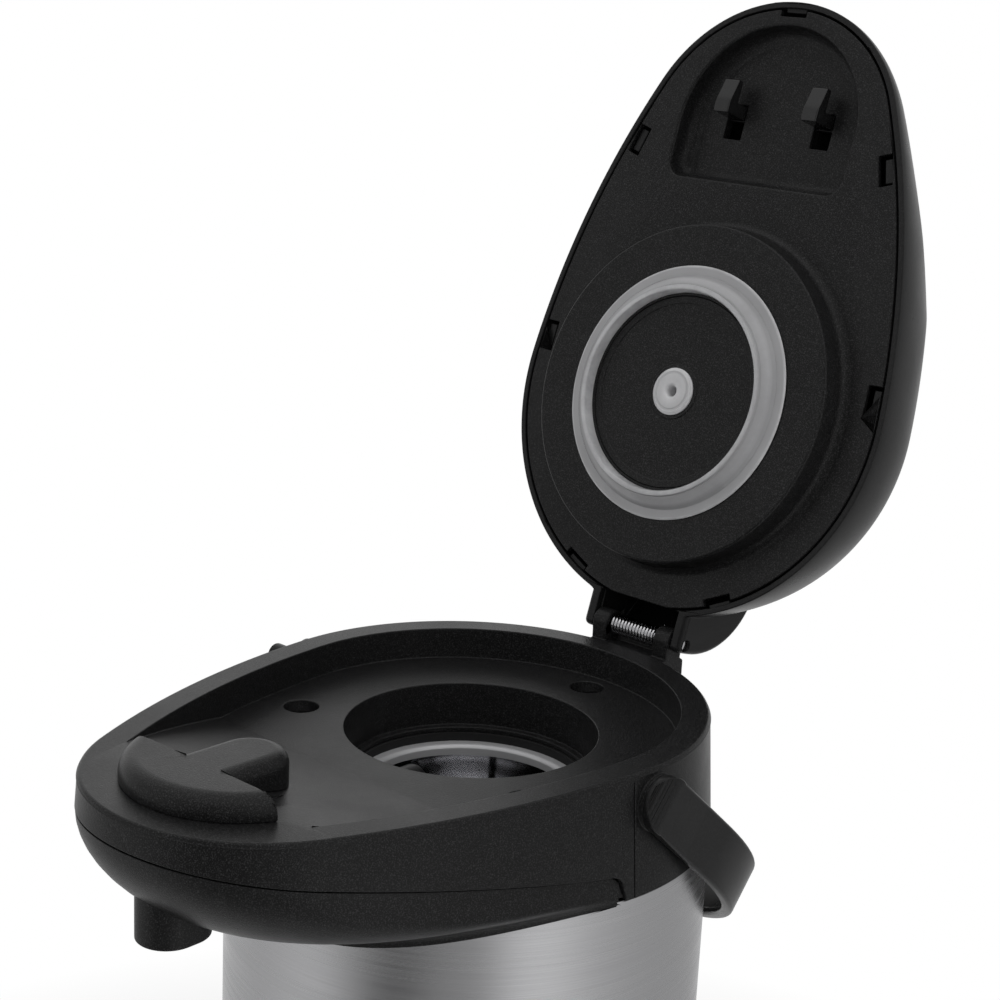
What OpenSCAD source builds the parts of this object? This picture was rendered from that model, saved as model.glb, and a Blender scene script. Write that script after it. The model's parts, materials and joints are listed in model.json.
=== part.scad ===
// Pump-top vacuum airpot with its lid standing open and its carrying handle hanging at the back.
// Millimetres. The origin is the middle of the underside, +Z is up and -Y is the spout side.

/* [Head and lid outline] */
// Height of the head's flat rim above the table
rim_z = 306; // [290:1:330]
// How far the head's rear circle stands inside the body's side
head_in = 2.5; // [2:0.1:4]
// How far the nose reaches out past that circle
overhang = 68; // [62:1:76]
// Radius of the long curve along each side of the head
flank_r = 302; // [270:2:340]
// Angle from the front at which that curve leaves the rear circle
flank_from = 86.5; // [82:0.5:90]
// Width of the flat rim round the deck
rim_w = 9.8; // [8:0.2:12]
// Depth of the deck below the rim
deck_drop = 11.3; // [10:0.1:13]
// Thickness of the deck
deck_t = 2.5; // [2:0.1:3]
// Thickness of the head's side wall
head_wall = 2.6; // [2:0.1:3.4]
// Height of the head's side wall at the back
collar_drop = 41; // [38:0.5:46]
// How far the wall leans outward over that height
collar_flare = 3; // [2:0.1:3.2]
// Where the deck starts to climb, in from the head's circle
fold_in = 22; // [18:1:26]
// Where the climbing deck meets the rim's level, back from the nose
ramp_back = 36; // [30:1:42]

/* [Mouth] */
// Radius of the opening in the deck
mouth_r = 43; // [42:0.2:44]
// Wall of the throat under the opening
throat_wall = 3; // [2:0.1:4]
// Depth of the throat's ledge below the rim
ledge_drop = 27; // [26:0.5:30]
// Thickness of that ledge
ledge_t = 2; // [1.5:0.1:3]
// Inner radius of the ledge
ledge_r = 40.4; // [40:0.1:41]

/* [Body] */
// Outer radius of the steel body
body_r = 82.5; // [81.5:0.25:82.8]
// Thickness of the steel body
shell_t = 1; // [0.8:0.1:1.4]
// Gap between the steel body and the vacuum jacket
jacket_in = 4.5; // [3.5:0.25:6]
// Gap between the jacket and the inner flask
vacuum_gap = 5; // [4:0.5:8]
// Thickness of the flask's and the jacket's steel
flask_t = 1; // [0.8:0.1:1.2]
// Inner radius of the flask's neck
neck_r = 35.5; // [34:0.25:36]
// Outer radius of the flask's lip
lip_r = 42.5; // [42:0.25:44]
// Thickness of the soft ring between the ledge and the lip
neck_gasket_t = 3; // [2:0.25:4]
// Length of the flask's straight neck
neck_len = 22; // [18:1:28]
// Height of the shoulder between the neck and the flask's side
shoulder_h = 42; // [36:1:50]

/* [Base] */
// Thickness of the turning base
base_h = 8; // [7:0.5:10]
// How far the turning base stands inside the body's side
base_in = 3.5; // [2:0.25:7]
// Height of the soft pads under the base
pad_h = 1.6; // [1.2:0.1:2.4]
// Radius of each pad
pad_r = 8; // [6:0.5:9]
// How far the pads' circle lies inside the turning base
pad_in = 13; // [11:0.5:18]
// Gap between the turning base and the bottom cap
swivel_gap = 0.5; // [0.3:0.1:1]
// Radius of the pivot stud
stud_r = 5; // [4:0.25:6]
// Height of the bottom cap's outside band
cap_band_h = 13; // [10:1:18]
// Thickness of the bottom cap's floor
cap_t = 3; // [2.5:0.25:4]
// Thickness of the cushion under the flask
cushion_t = 6; // [4:0.5:8]

/* [Front cover and spout] */
// Height of the head's side wall at the front tip
front_drop = 9.8; // [9:0.2:12]
// Slope of the seam under the wall, towards the back
seam_slope = 0.172; // [0.15:0.002:0.19]
// Where the seam steps down to the wall's full height
step_y = -15; // [-18:0.5:-12]
// Depth of the front cover's lower edge on the body
cover_drop = 55.7; // [54:0.1:58]
// How far back from the body's front that edge climbs until it is level
cover_climb = 58; // [54:0.5:60]
// How far the front cover laps over the steel body beside the step
cover_lap = 1; // [0.8:0.1:2]
// Thickness of the front cover
cover_t = 2.4; // [2:0.1:3]
// Width of the spout nozzle
nozzle_w = 20; // [18:0.5:21]
// Length of the spout nozzle, front to back
nozzle_len = 24; // [22:0.5:26]
// Middle of the nozzle, back from the nose
nozzle_back = 21; // [20:0.5:23]
// Depth of the nozzle's mouth below the rim
nozzle_drop = 44.5; // [43:0.5:48]
// Wall of the nozzle
nozzle_wall = 1.8; // [1.5:0.1:2.4]

/* [Spout block] */
// Radius of the round front of the block on the deck
block_r = 37; // [36:0.25:37.5]
// Middle of that round front, back from the nose
block_back = 47; // [46:0.25:48]
// Height of the block above the rim
block_h = 7.6; // [7:0.1:8]
// Radius of the block's rounded top edge
block_round = 6; // [4:0.25:6.5]
// Where the block's wings end, in front of that middle
wing_out = 15; // [14:0.25:16]
// Half width of the stem between the wings
stem_w = 12; // [11:0.25:12.5]
// Where the stem ends, behind that middle
stem_back = 15; // [12:0.5:17]
// Thickness of the block's walls
block_wall = 2.4; // [2:0.1:2.8]

/* [Water path] */
// Outer radius of the steel suction tube
tube_r = 3.5; // [3:0.25:4]
// Wall of the suction tube
tube_wall = 0.6; // [0.4:0.05:0.9]
// How far the tube stands in front of the axis
tube_y = -28; // [-29:0.5:-26]
// Gap between the tube's foot and the flask's floor
tube_foot_gap = 8; // [5:0.5:14]
// Outer radius of the plastic water pipe
pipe_r = 4.3; // [4:0.1:4.5]
// Bore radius of the plastic water pipe
pipe_bore = 2.8; // [2.4:0.1:3]
// Depth of the pipe below the rim
pipe_drop = 22; // [21.8:0.1:22.5]
// Radius of the tip-over valve's ball
ball_r = 6.5; // [5.5:0.25:6.5]
// Thickness of the valve chamber's wall
chamber_wall = 1.8; // [1.5:0.1:2.2]
// Travel of the ball in its chamber
ball_lift = 5; // [4:0.5:5]

/* [Deck screws] */
// Radius of the circle of deck screws
screw_ring_r = 60.3; // [59.5:0.1:61.5]
// Radius of the wells that the screws sit in
well_r = 6; // [5:0.25:6.5]
// Depth of the wells
well_depth = 6.5; // [5.5:0.25:8]
// Radius of a screw's shank
shank_r = 1.9; // [1.5:0.1:2.2]
// Radius of a screw's head
screw_head_r = 4.4; // [3.5:0.1:4.8]
// Height of a screw's head
screw_head_h = 2.6; // [2:0.1:3]
// Length of a screw below its head
screw_len = 34; // [30:1:38]

/* [Hinge] */
// Distance of the hinge pin behind the head's circle
hinge_out = 7.4; // [6.6:0.1:8.4]
// Height of the hinge pin above the rim
hinge_z = 4.2; // [3.8:0.1:4.6]
// How far the lid stands open
lid_open = 108; // [104:1:108]
// Radius of the hinge pin
pin_r = 2; // [1.6:0.1:2.4]
// How far the pin's ends stay inside the lid's ears
pin_in = 1.2; // [0.4:0.1:2]
// Half the width of the bracket on the head
bracket_w = 17.5; // [16:0.25:17.5]
// Thickness of each of the bracket's knuckles
knuckle_t = 6.5; // [5:0.25:7]
// Outer radius of the knuckles
knuckle_r = 4.8; // [4.4:0.1:5]
// Thickness of each of the lid's ears
ear_t = 4.5; // [3:0.25:5]
// Running gap between the ears and the bracket
ear_gap = 0.7; // [0.4:0.1:1]
// Wire diameter of the hinge spring
wire_d = 0.9; // [0.8:0.05:0.95]
// Mean radius of the hinge spring's coils
coil_r = 3.3; // [3.1:0.05:3.5]
// Number of coils
coils = 14; // [10:1:14]

/* [Handle] */
// Distance of the handle's pivots below the rim
pivot_drop = 12; // [11:0.25:14]
// How far the handle hangs below level
hang = 40.8; // [40:0.2:44]
// How far the handle's outer face stands off the head's circle
bail_out = 6.4; // [6:0.1:8]
// Thickness of the handle's strap
bail_t = 4.2; // [3.4:0.1:4.2]
// Width of the handle's strap
bail_w = 19; // [16:0.5:20]
// Gap between the hanging handle and the steel body
bail_gap = 0.5; // [0.3:0.1:2]
// Depth of the groove along the strap's inner face
groove_depth = 2; // [1:0.1:2.4]
// Width of the strap's edges beside the groove
groove_edge = 2.8; // [2:0.1:4]
// Radius of the pivot studs
pivot_r = 4; // [3:0.25:5]

/* [Lid] */
// Height of the lid's top above the rim
lid_h = 41; // [39:0.5:42]
// Height of the lid's top over its tip, to which it falls
lid_tip_h = 27; // [26.5:0.5:30]
// Where the top starts to fall, back from the nose
lid_fall = 73; // [66:1:75]
// How far the lid's rounded shoulder runs in, at the sides and the back
lid_shoulder = 14.3; // [13:0.1:16]
// How far the shoulder runs in at the tip
tip_shoulder = 34; // [32:0.5:36]
// Height of the lid's upright edge
lid_edge = 2.5; // [2.2:0.1:3]
// Thickness of the lid's outer cover
lid_t = 2.2; // [1.8:0.1:2.6]
// Gap between the lid's outer cover and the rim
lid_gap = 0.5; // [0.3:0.1:0.8]
// Gap between the cover's edge and the inner plate
plate_gap = 0.8; // [0.5:0.1:1.2]
// Thickness of the inner plate
plate_t = 2.2; // [1.8:0.1:2.6]
// Radius of the raised disc under the lid
disc_r = 62; // [60:0.5:64]
// Depth of that disc below the rim
disc_drop = 10.2; // [9.6:0.1:10.4]
// Depth of the recess at the lid's tip
tip_depth = 9.2; // [8.8:0.1:10]
// Gap round the block inside that recess
tip_gap = 1.2; // [0.8:0.1:1.5]

/* [Seal and valve] */
// Outer radius of the soft mouth ring
ring_r = 46.5; // [46:0.1:47.5]
// Inner radius of the mouth ring
ring_inner = 37.2; // [36.6:0.1:37.8]
// Depth of the mouth ring below the rim
ring_drop = 16.2; // [15.6:0.1:16.4]
// Radius of the vent grommet
grommet_r = 8.6; // [7:0.2:9.5]
// Radius of the vent hole
vent_r = 1.6; // [1:0.1:2]
// Thickness of the pump's floor
pump_floor_t = 3; // [2.4:0.2:4]

/* [Pump] */
// Radius of the pump button
button_r = 39; // [37:0.25:39.5]
// Stroke of the pump button
stroke = 24; // [18:1:26]
// Height of the button's skirt
button_skirt = 8; // [6:0.5:9]
// Thickness of the button's top
button_t = 2.4; // [2:0.1:3]
// Outer radius of the bellows
bellows_r = 33; // [30:0.5:34]
// Number of folds in the bellows
folds = 6; // [4:1:8]
// Depth of each fold
fold_depth = 5; // [4:0.5:6]
// Wall of the bellows
bellows_t = 0.9; // [0.7:0.1:1.2]
// Outer radius of the pump's return spring
pump_spring_r = 17; // [14:0.5:19]
// Thickness of the sleeve that guides the button
sleeve_t = 2; // [1.6:0.1:2.4]
// Width of the trim ring round the button
bezel_w = 5; // [4:0.25:6]

/* [Latch and lock] */
// Middle of each latch hook, from the lid's centre line
hook_x = 19.4; // [19:0.1:20]
// Width of each latch hook
hook_w = 6.6; // [5:0.2:8]
// Thickness of a hook's toe at its tip
toe_t = 2.8; // [2.2:0.1:3]
// Height of the toe's catching face above the rim
catch_z = 3.6; // [3.2:0.1:3.9]
// Depth of the hooks' outer ends below the rim
hook_drop = 1.8; // [1:0.1:2.4]
// How far a hook's toe reaches into the block
hook_catch = 1.8; // [1.5:0.1:2.2]
// Travel of the latch
latch_travel = 4; // [3.6:0.1:4.4]
// Half width of the release tab at the lid's tip
tab_w = 13; // [11:0.5:15]
// Half width of the lock's knob
knob_w = 9; // [7:0.5:11]
// Travel of the lock
lock_travel = 7; // [6:0.25:7.5]
// Middle of the lock's knob in the open state, out from the button's edge
lock_out = 23; // [21:0.5:25]

/* [Hidden] */
$fn = 96;

// Colours, as photographed
black_plastic = [0.17, 0.17, 0.18];
satin_black = [0.22, 0.22, 0.23];
steel = [0.78, 0.78, 0.79];
bright_steel = [0.86, 0.86, 0.87];
silicone = [0.88, 0.88, 0.86];
dark_rubber = [0.12, 0.12, 0.12];
white_plastic = [0.85, 0.85, 0.83];

// Clearances: a press fit, a shaft that turns in its bore, and a gap between pieces that slide
fit = 0.05;
shaft_fit = 0.08;
run = 0.3;
// How far a cut runs past the face it opens
over = 1;

// Places that follow from the sizes above
head_r = body_r - head_in;
nose_reach = head_r + overhang;
fold_y = -(head_r - fold_in);
ramp_top_y = -(nose_reach - ramp_back);
jacket_r = body_r - shell_t - jacket_in;
flask_r = jacket_r - flask_t - vacuum_gap;
base_r = body_r - base_in;
pad_ring_r = base_r - pad_in;
nozzle_y = -(nose_reach - nozzle_back);
block_y = -(nose_reach - block_back);
wing_y = block_y - wing_out;
stem_y = block_y + stem_back;
chamber_y = block_y;
hinge_y = head_r + hinge_out;
bail_x = head_r + bail_out;
arm_len = (body_r + bail_gap + bail_w / 2 * sin(hang)) / cos(hang) - (bail_x - bail_t);
lock_y = -(button_r + lock_out);

// The latch: the slots that its hooks stand in, and the carriage above them
slot_gap = 0.6;
stem_t = 5;
slot_y = wing_y + 5.6;
slot_len = stem_t + latch_travel + 4;

// Heights measured from the table
cap_z = pad_h + base_h + swivel_gap;
shell_z = cap_z + cap_band_h;
shell_top = rim_z - collar_drop;
gasket_z = rim_z - ledge_drop - ledge_t - neck_gasket_t;
lip_t = 2;
lip_z = gasket_z - lip_t;
flask_floor = cap_z + cap_t + cushion_t;

// The head's outline: a rear circle, a long curve along each side and a round nose, all tangent
flank_c = -(flank_r - head_r) * [sin(flank_from), -cos(flank_from)];
arc_steps = 7;
rear_steps = 15;

// Radius of the nose that touches both side curves and reaches a given distance in front of the axis
function nose_radius(reach) =
    (flank_c[0] * flank_c[0] + (flank_c[1] + reach) * (flank_c[1] + reach) - flank_r * flank_r)
    / (2 * (flank_c[1] + reach) - 2 * flank_r);

// Angle from the front at which the nose meets the side curve
function nose_angle(reach) =
    let (middle = nose_radius(reach) - reach)
    atan2(-flank_c[0], flank_c[1] - middle);

function on_arc(centre, radius, angle) = centre + radius * [sin(angle), -cos(angle)];

// Right half of the outline from the nose to the back, moved outward by off
function egg_half(off, reach) =
    let (rn = nose_radius(reach), an = nose_angle(reach), nose = [0, rn - reach])
    concat(
        [for (i = [0 : arc_steps - 1]) on_arc(nose, rn + off, an * i / arc_steps)],
        [for (i = [0 : arc_steps - 1]) on_arc(flank_c, flank_r + off,
            an + (flank_from - an) * i / arc_steps)],
        [for (i = [0 : rear_steps]) on_arc([0, 0], head_r + off,
            flank_from + (180 - flank_from) * i / rear_steps)]
    );

function egg_points(off = 0, reach = nose_reach) =
    let (half = egg_half(off, reach), n = len(half))
    concat(half, [for (i = [n - 2 : -1 : 1]) [-half[i][0], half[i][1]]]);

module egg(off = 0, reach = nose_reach) {
    polygon(egg_points(off, reach));
}

module egg_slab(z_low, z_high, off = 0) {
    translate([0, 0, z_low]) linear_extrude(z_high - z_low) egg(off);
}

// A closed skin over a stack of rings, each a list of as many (x, y, z) points
module loft(rings) {
    n = len(rings[0]);
    last = (len(rings) - 1) * n;
    points = [for (ring = rings) each ring];
    sides = [for (i = [0 : len(rings) - 2]) for (k = [0 : n - 1]) each [
        [i * n + k, (i + 1) * n + k, i * n + (k + 1) % n],
        [i * n + (k + 1) % n, (i + 1) * n + k, (i + 1) * n + (k + 1) % n]]];
    // The rings are the same on both sides, so each end is closed with level strips from side to side
    near = [for (k = [0 : n / 2 - 1]) let (left = (n - k) % n) each [
        if (k > 0) [k, n - k - 1, left], if (k < n / 2 - 1) [k, k + 1, n - k - 1]]];
    away = [for (face = near) [last + face[0], last + face[2], last + face[1]]];
    polyhedron(points, concat(sides, near, away));
}

function egg_ring(z, off, reach = nose_reach) = [for (p = egg_points(off, reach)) [p[0], p[1], z]];

// A side view outline of (y, z) points, extruded to both sides of the centre line
module side_prism(points, half_w) {
    rotate([90, 0, 90]) translate([0, 0, -half_w]) linear_extrude(2 * half_w) polygon(points);
}

module at_rim() {
    translate([0, 0, rim_z]) children();
}

// Puts what is drawn shut on the rim into the lid's open place
module on_lid() {
    translate([0, hinge_y, rim_z + hinge_z]) rotate([-lid_open, 0, 0])
        translate([0, -hinge_y, -hinge_z]) children();
}

module pipe(r, bore, z_low, z_high) {
    difference() {
        translate([0, 0, z_low]) cylinder(r = r, h = z_high - z_low);
        translate([0, 0, z_low - over]) cylinder(r = bore, h = z_high - z_low + 2 * over);
    }
}

module along_x(r, half_len) {
    rotate([0, 90, 0]) cylinder(r = r, h = 2 * half_len, center = true, $fn = 48);
}

module screw(head_r, head_h, shank, len) {
    cylinder(r = head_r, h = head_h, $fn = 32);
    translate([0, 0, -len]) cylinder(r = shank, h = len + head_h / 2, $fn = 24);
}

// Base

base_top = pad_h + base_h;
clip_t = 1.2;
clip_z = cap_z + cap_t + run;
stud_neck = stud_r - 0.8;

module swivel_base() {
    recess = 2.4;
    hub_r = 14;
    color(black_plastic) difference() {
        rotate_extrude() polygon([[0, 0], [hub_r, 0], [hub_r, pad_h], [base_r - 3, pad_h],
            [base_r, pad_h + 3], [base_r, base_top], [base_r - 4, base_top],
            [base_r - 4, base_top - recess], [24, base_top - recess], [24, base_top],
            [stud_r, base_top], [stud_r, clip_z], [stud_neck, clip_z], [stud_neck, clip_z + clip_t],
            [stud_r, clip_z + clip_t], [stud_r, clip_z + 2 * clip_t], [0, clip_z + 2 * clip_t]]);
        pad_places() translate([0, 0, pad_h - over]) cylinder(r = pad_r, h = over + 1);
    }
}

module pad_places() {
    for (i = [0 : 3]) rotate([0, 0, 45 + 90 * i]) translate([pad_ring_r, 0, 0]) children();
}

module swivel_pads() {
    color(dark_rubber) pad_places() cylinder(r = pad_r, h = pad_h + 1, $fn = 40);
}

module swivel_clip() {
    color(bright_steel) difference() {
        pipe(2 * stud_r, stud_neck, clip_z, clip_z + clip_t);
        translate([0, -stud_neck + 0.4, clip_z - over])
            cube([3 * stud_r, 2 * stud_neck - 0.8, clip_t + 2 * over]);
    }
}

module bottom_cap() {
    lip = 9;
    inner = body_r - shell_t - fit;
    color(black_plastic) translate([0, 0, cap_z]) difference() {
        rotate_extrude() polygon([[0, 0], [body_r - 2, 0], [body_r, 2], [body_r, cap_band_h],
            [inner, cap_band_h], [inner, cap_band_h + lip], [inner - 2, cap_band_h + lip],
            [inner - 2, cap_t], [0, cap_t]]);
        translate([0, 0, -over]) cylinder(r = stud_r + shaft_fit, h = cap_t + 2 * over);
    }
}

module body_shell() {
    color(steel) pipe(body_r, body_r - shell_t, shell_z, shell_top);
}

// Flask

// Half section of a bottle: its wall runs from the neck over the shoulder to the side and the domed floor
function bottle_side(neck, side, top, shoulder_top, floor_z, corner) =
    let (steps = 8)
    concat(
        [[neck, top]],
        [for (i = [0 : steps]) [neck + (side - neck) * (1 - cos(180 * i / steps)) / 2,
            shoulder_top - shoulder_h * i / steps]],
        [for (i = [0 : 4]) [side - corner + corner * cos(90 * i / 4),
            floor_z + corner - corner * sin(90 * i / 4)]]
    );

module bottle(neck, side, top, floor_z, corner, t) {
    outer = bottle_side(neck, side, top, top - neck_len, floor_z, corner);
    inner = bottle_side(neck - t, side - t, top + over, top - neck_len - t / 2, floor_z + t, corner);
    difference() {
        rotate_extrude() polygon(concat(outer, [[0, floor_z], [0, top]]));
        rotate_extrude() polygon(concat(inner, [[0, floor_z + t], [0, top + over]]));
    }
}

module flask_outer() {
    color(steel) bottle(lip_r - 1, jacket_r, lip_z, flask_floor, 14, flask_t);
}

module flask_inner() {
    color(bright_steel) {
        bottle(neck_r + flask_t, flask_r, lip_z, flask_floor + vacuum_gap, 14, flask_t);
        translate([0, 0, lip_z]) rotate_extrude() polygon([[neck_r, 0], [lip_r, 0], [lip_r, lip_t],
            [neck_r + 1.6, lip_t], [neck_r + 0.5, lip_t - 0.5], [neck_r, lip_t - 1.4]]);
    }
}

module flask_cushion() {
    color(dark_rubber) pipe(jacket_r - 18, 2.4 * stud_r + 6, cap_z + cap_t, flask_floor);
}

module neck_gasket() {
    color(dark_rubber) pipe(lip_r, ledge_r - 0.8, gasket_z, gasket_z + neck_gasket_t);
}

// Head

seam_at_tip = front_drop;
function seam_z(y) = -(seam_at_tip + seam_slope * (y + nose_reach));
function deck_z(y) =
    y > fold_y ? -deck_drop : y < ramp_top_y ? 0 : -deck_drop * (y - ramp_top_y) / (fold_y - ramp_top_y);
function flare_at(depth) = collar_flare * min(depth, collar_drop) / collar_drop;

// Length of cuts that run right out of the part
far = 2.5 * body_r;
rim_edge = 1.2;

// The head's outer wall, leaning outward and rounded along the rim
module head_outside() {
    loft([for (layer = [[collar_drop, collar_flare], [rim_edge, 0], [0.35, -0.35], [0, -rim_edge]])
        egg_ring(-layer[0], layer[1])]);
}

// What lies above the seam with the front cover
module above_seam() {
    side_prism([[-far, far], [-far, seam_z(-far)], [step_y - 6, seam_z(step_y - 6)],
        [step_y, seam_z(step_y) - 3], [step_y + 2, -collar_drop], [far, -collar_drop], [far, far]],
        far);
}

module head_hollow() {
    intersection() {
        egg_slab(-collar_drop - over, 0, -head_wall);
        side_prism([[-far, -far], [-far, -deck_t], [ramp_top_y, -deck_t],
            [fold_y, -deck_drop - deck_t], [far, -deck_drop - deck_t], [far, -far]], far);
    }
}

module deck_recess() {
    intersection() {
        egg_slab(-deck_drop, over, -rim_w);
        side_prism([[ramp_top_y, 0], [fold_y, -deck_drop], [far, -deck_drop], [far, over],
            [ramp_top_y, over]], far);
    }
}

// Pockets in the climbing deck that the hooks' ends dip into when the lid shuts
pocket_gap = 1;
pocket_floor = -hook_drop - 1.2;
pocket_y = [wing_y - hook_catch - pocket_gap, slot_y + slot_len + pocket_gap];

module hook_pockets(wall) {
    for (side = [-1, 1])
        translate([side * hook_x - hook_w / 2 - pocket_gap - wall, pocket_y[0] - wall, pocket_floor - wall])
            cube([hook_w + 2 * (pocket_gap + wall), pocket_y[1] - pocket_y[0] + 2 * wall, far]);
}

module under_ramp() {
    side_prism([[-far, -1], [ramp_top_y, -1], [fold_y, -deck_drop - 1], [fold_y, -far], [-far, -far]], far);
}

module screw_places() {
    for (a = [90, 210, 330]) rotate([0, 0, a]) translate([screw_ring_r, 0, 0]) children();
}

spigot_h = 8;
boss_r = 8;
throat_r = mouth_r + throat_wall;

module head() {
    spigot_r = body_r - shell_t - fit;
    color(black_plastic) at_rim() difference() {
        union() {
            intersection() {
                difference() {
                    head_outside();
                    head_hollow();
                }
                above_seam();
            }
            // Throat, screw bosses and the ring that stands inside the steel body
            translate([0, 0, -ledge_drop - ledge_t])
                cylinder(r = throat_r, h = ledge_drop + ledge_t - deck_drop - 0.5);
            screw_places() translate([0, 0, -collar_drop - spigot_h])
                cylinder(r = boss_r, h = collar_drop + spigot_h - deck_drop - 0.5);
            pipe(spigot_r, head_r - head_wall - 0.6, -collar_drop - spigot_h, -collar_drop);
            // Seat of that ring in the side wall, behind the step of the seam
            intersection() {
                pipe(spigot_r, head_r - head_wall - 0.6, -collar_drop - over, -collar_drop + 4);
                translate([-far, step_y + 2, -far]) cube(2 * far);
            }
            // Low rings round the handle's pivots
            for (side = [-1, 1]) translate([side * (bail_x - bail_t - run - head_wall), 0, -pivot_drop])
                along_x(bail_w / 2, head_wall);
            intersection() {
                hook_pockets(1.6);
                under_ramp();
            }
            // Walls under the rim that close the hollow in front of the steel body
            intersection() {
                pipe(head_r - head_wall, head_r - 2 * head_wall, -collar_drop - spigot_h, -deck_drop - 0.5);
                translate([-far, -far, -far]) cube([2 * far, far - mouth_r, 2 * far]);
            }
        }
        deck_recess();
        hook_pockets(0);
        translate([0, 0, -ledge_drop]) cylinder(r = mouth_r, h = ledge_drop + over);
        translate([0, 0, -ledge_drop - ledge_t - over]) cylinder(r = ledge_r, h = ledge_t + 2 * over);
        screw_places() {
            translate([0, 0, -deck_drop - well_depth])
                cylinder(r = well_r, h = well_depth + over, $fn = 48);
            translate([0, 0, -far]) cylinder(r = shank_r + 0.2, h = far, $fn = 32);
        }
        // Port for the water pipe through the throat and the front wall
        along_y(pipe_r + fit, -ledge_r + over, -head_r - over, -pipe_drop);
        // Sockets for the handle's pivots
        for (side = [-1, 1]) translate([side * (pivot_from + body_r / 2), 0, -pivot_drop])
            along_x(pivot_r, body_r / 2);
        // Seat of the hinge bracket's screws
        bracket_screw_places() rotate([90, 0, 0]) cylinder(r = 1.6, h = 14, $fn = 24);
    }
}

module shoulder_ring() {
    ring_t = 5;
    color(black_plastic) at_rim() difference() {
        pipe(body_r - shell_t - fit, screw_ring_r - boss_r, -collar_drop - spigot_h - ring_t,
            -collar_drop - spigot_h);
        screw_places() translate([0, 0, -far]) cylinder(r = shank_r, h = far, $fn = 24);
    }
}

module deck_screws() {
    color(bright_steel) at_rim() screw_places() translate([0, 0, -deck_drop - well_depth])
        screw(screw_head_r, screw_head_h, shank_r, screw_len);
}

// Front cover and spout

cover_layers = 10;
// Form of the bowl from its seam down: how long it stays full, and how fast it then draws in
bowl_belly = 1.8;
bowl_fall = 2.6;
// How far down the sides' flare is followed
bowl_side = 22;

// The lower edge climbs from the front and ends level, a little below the head's own edge
function edge_z(y) =
    let (level = -collar_drop - cover_lap, left = 1 - min(1, (body_r + y) / cover_climb))
    level - (cover_drop + level) * left * left;

// One ring of the bowl under the overhang: it lies between the seam and the lower edge
function cover_ring(t, inset, lift) =
    let (reach = body_r + (nose_reach - body_r) * pow(1 - pow(t, bowl_belly), bowl_fall))
    [for (p = egg_points(flare_at(front_drop + bowl_side * t) - inset, reach))
        [p[0], p[1], (1 - t) * seam_z(p[1]) + t * edge_z(p[1]) + lift]];

module cover_bowl(inset, lift) {
    loft([for (i = [cover_layers : -1 : 0]) cover_ring(i / cover_layers, inset, lift)]);
}

module front_cover() {
    seam_gap = 0.3;
    color(black_plastic) at_rim() difference() {
        intersection() {
            difference() {
                cover_bowl(0, 0);
                cover_bowl(cover_t, cover_t);
            }
            side_prism([[-far, -far], [-far, seam_z(-far) - seam_gap],
                [step_y - 6 - seam_gap, seam_z(step_y - 6) - seam_gap],
                [step_y - seam_gap, seam_z(step_y) - 3 - seam_gap],
                [step_y + 2 - seam_gap, -collar_drop], [step_y + 2, -far]], far);
        }
        translate([0, 0, -far])
            cylinder(r = body_r + fit, h = far - collar_drop + cover_t - cover_lap);
        translate([0, 0, -collar_drop - over])
            cylinder(r = head_r - head_wall + 0.2, h = collar_drop + over);
        nozzle_prism(0, -far, 0);
    }
}

module nozzle_outline(inset) {
    r = nozzle_w / 2 - inset;
    half = (nozzle_len - nozzle_w) / 2;
    hull() for (side = [-1, 1]) translate([0, nozzle_y + side * half]) circle(r = r, $fn = 48);
}

module nozzle_prism(inset, z_low, z_high) {
    translate([0, 0, z_low]) linear_extrude(z_high - z_low) nozzle_outline(inset);
}

module spout_nozzle() {
    color(black_plastic) at_rim() difference() {
        nozzle_prism(fit, -nozzle_drop, nozzle_top);
        nozzle_prism(nozzle_wall, -nozzle_drop - over, nozzle_top - nozzle_wall);
        translate([0, nozzle_y, -far]) cylinder(r = pipe_r + fit, h = far, $fn = 48);
    }
}

// Block on the deck

module rounded_post(r, low, high, round) {
    rotate_extrude($fn = 64) polygon(concat([[0, low], [r, low]],
        [for (a = [0 : 15 : 90]) [r - round + round * cos(a), high - round + round * sin(a)]],
            [[0, high]]));
}

module block_solid(inset) {
    deep = -deck_drop;
    intersection() {
        translate([0, block_y, 0]) rounded_post(block_r - inset, deep, block_h - inset, block_round);
        translate([-far, -far, deep]) cube([2 * far, far + wing_y - inset, far]);
    }
    hull() {
        translate([0, stem_y - stem_w, 0])
            rounded_post(stem_w - inset, deep, block_h - inset, block_round - 1);
        translate([0, wing_y - stem_w / 2, 0])
            rounded_post(stem_w - inset, deep, block_h - inset, block_round - 1);
    }
}

window_h = catch_z + 0.4;

module spout_block() {
    color(black_plastic) at_rim() difference() {
        intersection() {
            block_solid(0);
            side_prism([[-far, 0], [ramp_top_y, 0], [fold_y, -deck_drop], [fold_y, far], [-far, far]], far);
        }
        block_solid(block_wall);
        for (side = [-1, 1]) translate([side * hook_x - hook_w / 2 - pocket_gap, wing_y - 8, -over])
            cube([hook_w + 2 * pocket_gap, 9, window_h + over]);
    }
}

// Water path

chamber_r = ball_r + 0.6 + chamber_wall;
chamber_top = deck_z(chamber_y + chamber_r) - deck_t - 0.4;
chamber_low = chamber_top - 2 * chamber_wall - 2 * ball_r - ball_lift - 1.5;
cross_z = chamber_top - pipe_r;
nozzle_top = cross_z - pipe_r - 0.8;

module along_y(r, y_from, y_to, z) {
    translate([0, max(y_from, y_to), z]) rotate([90, 0, 0])
        cylinder(r = r, h = abs(y_to - y_from), $fn = 48);
}

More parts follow.
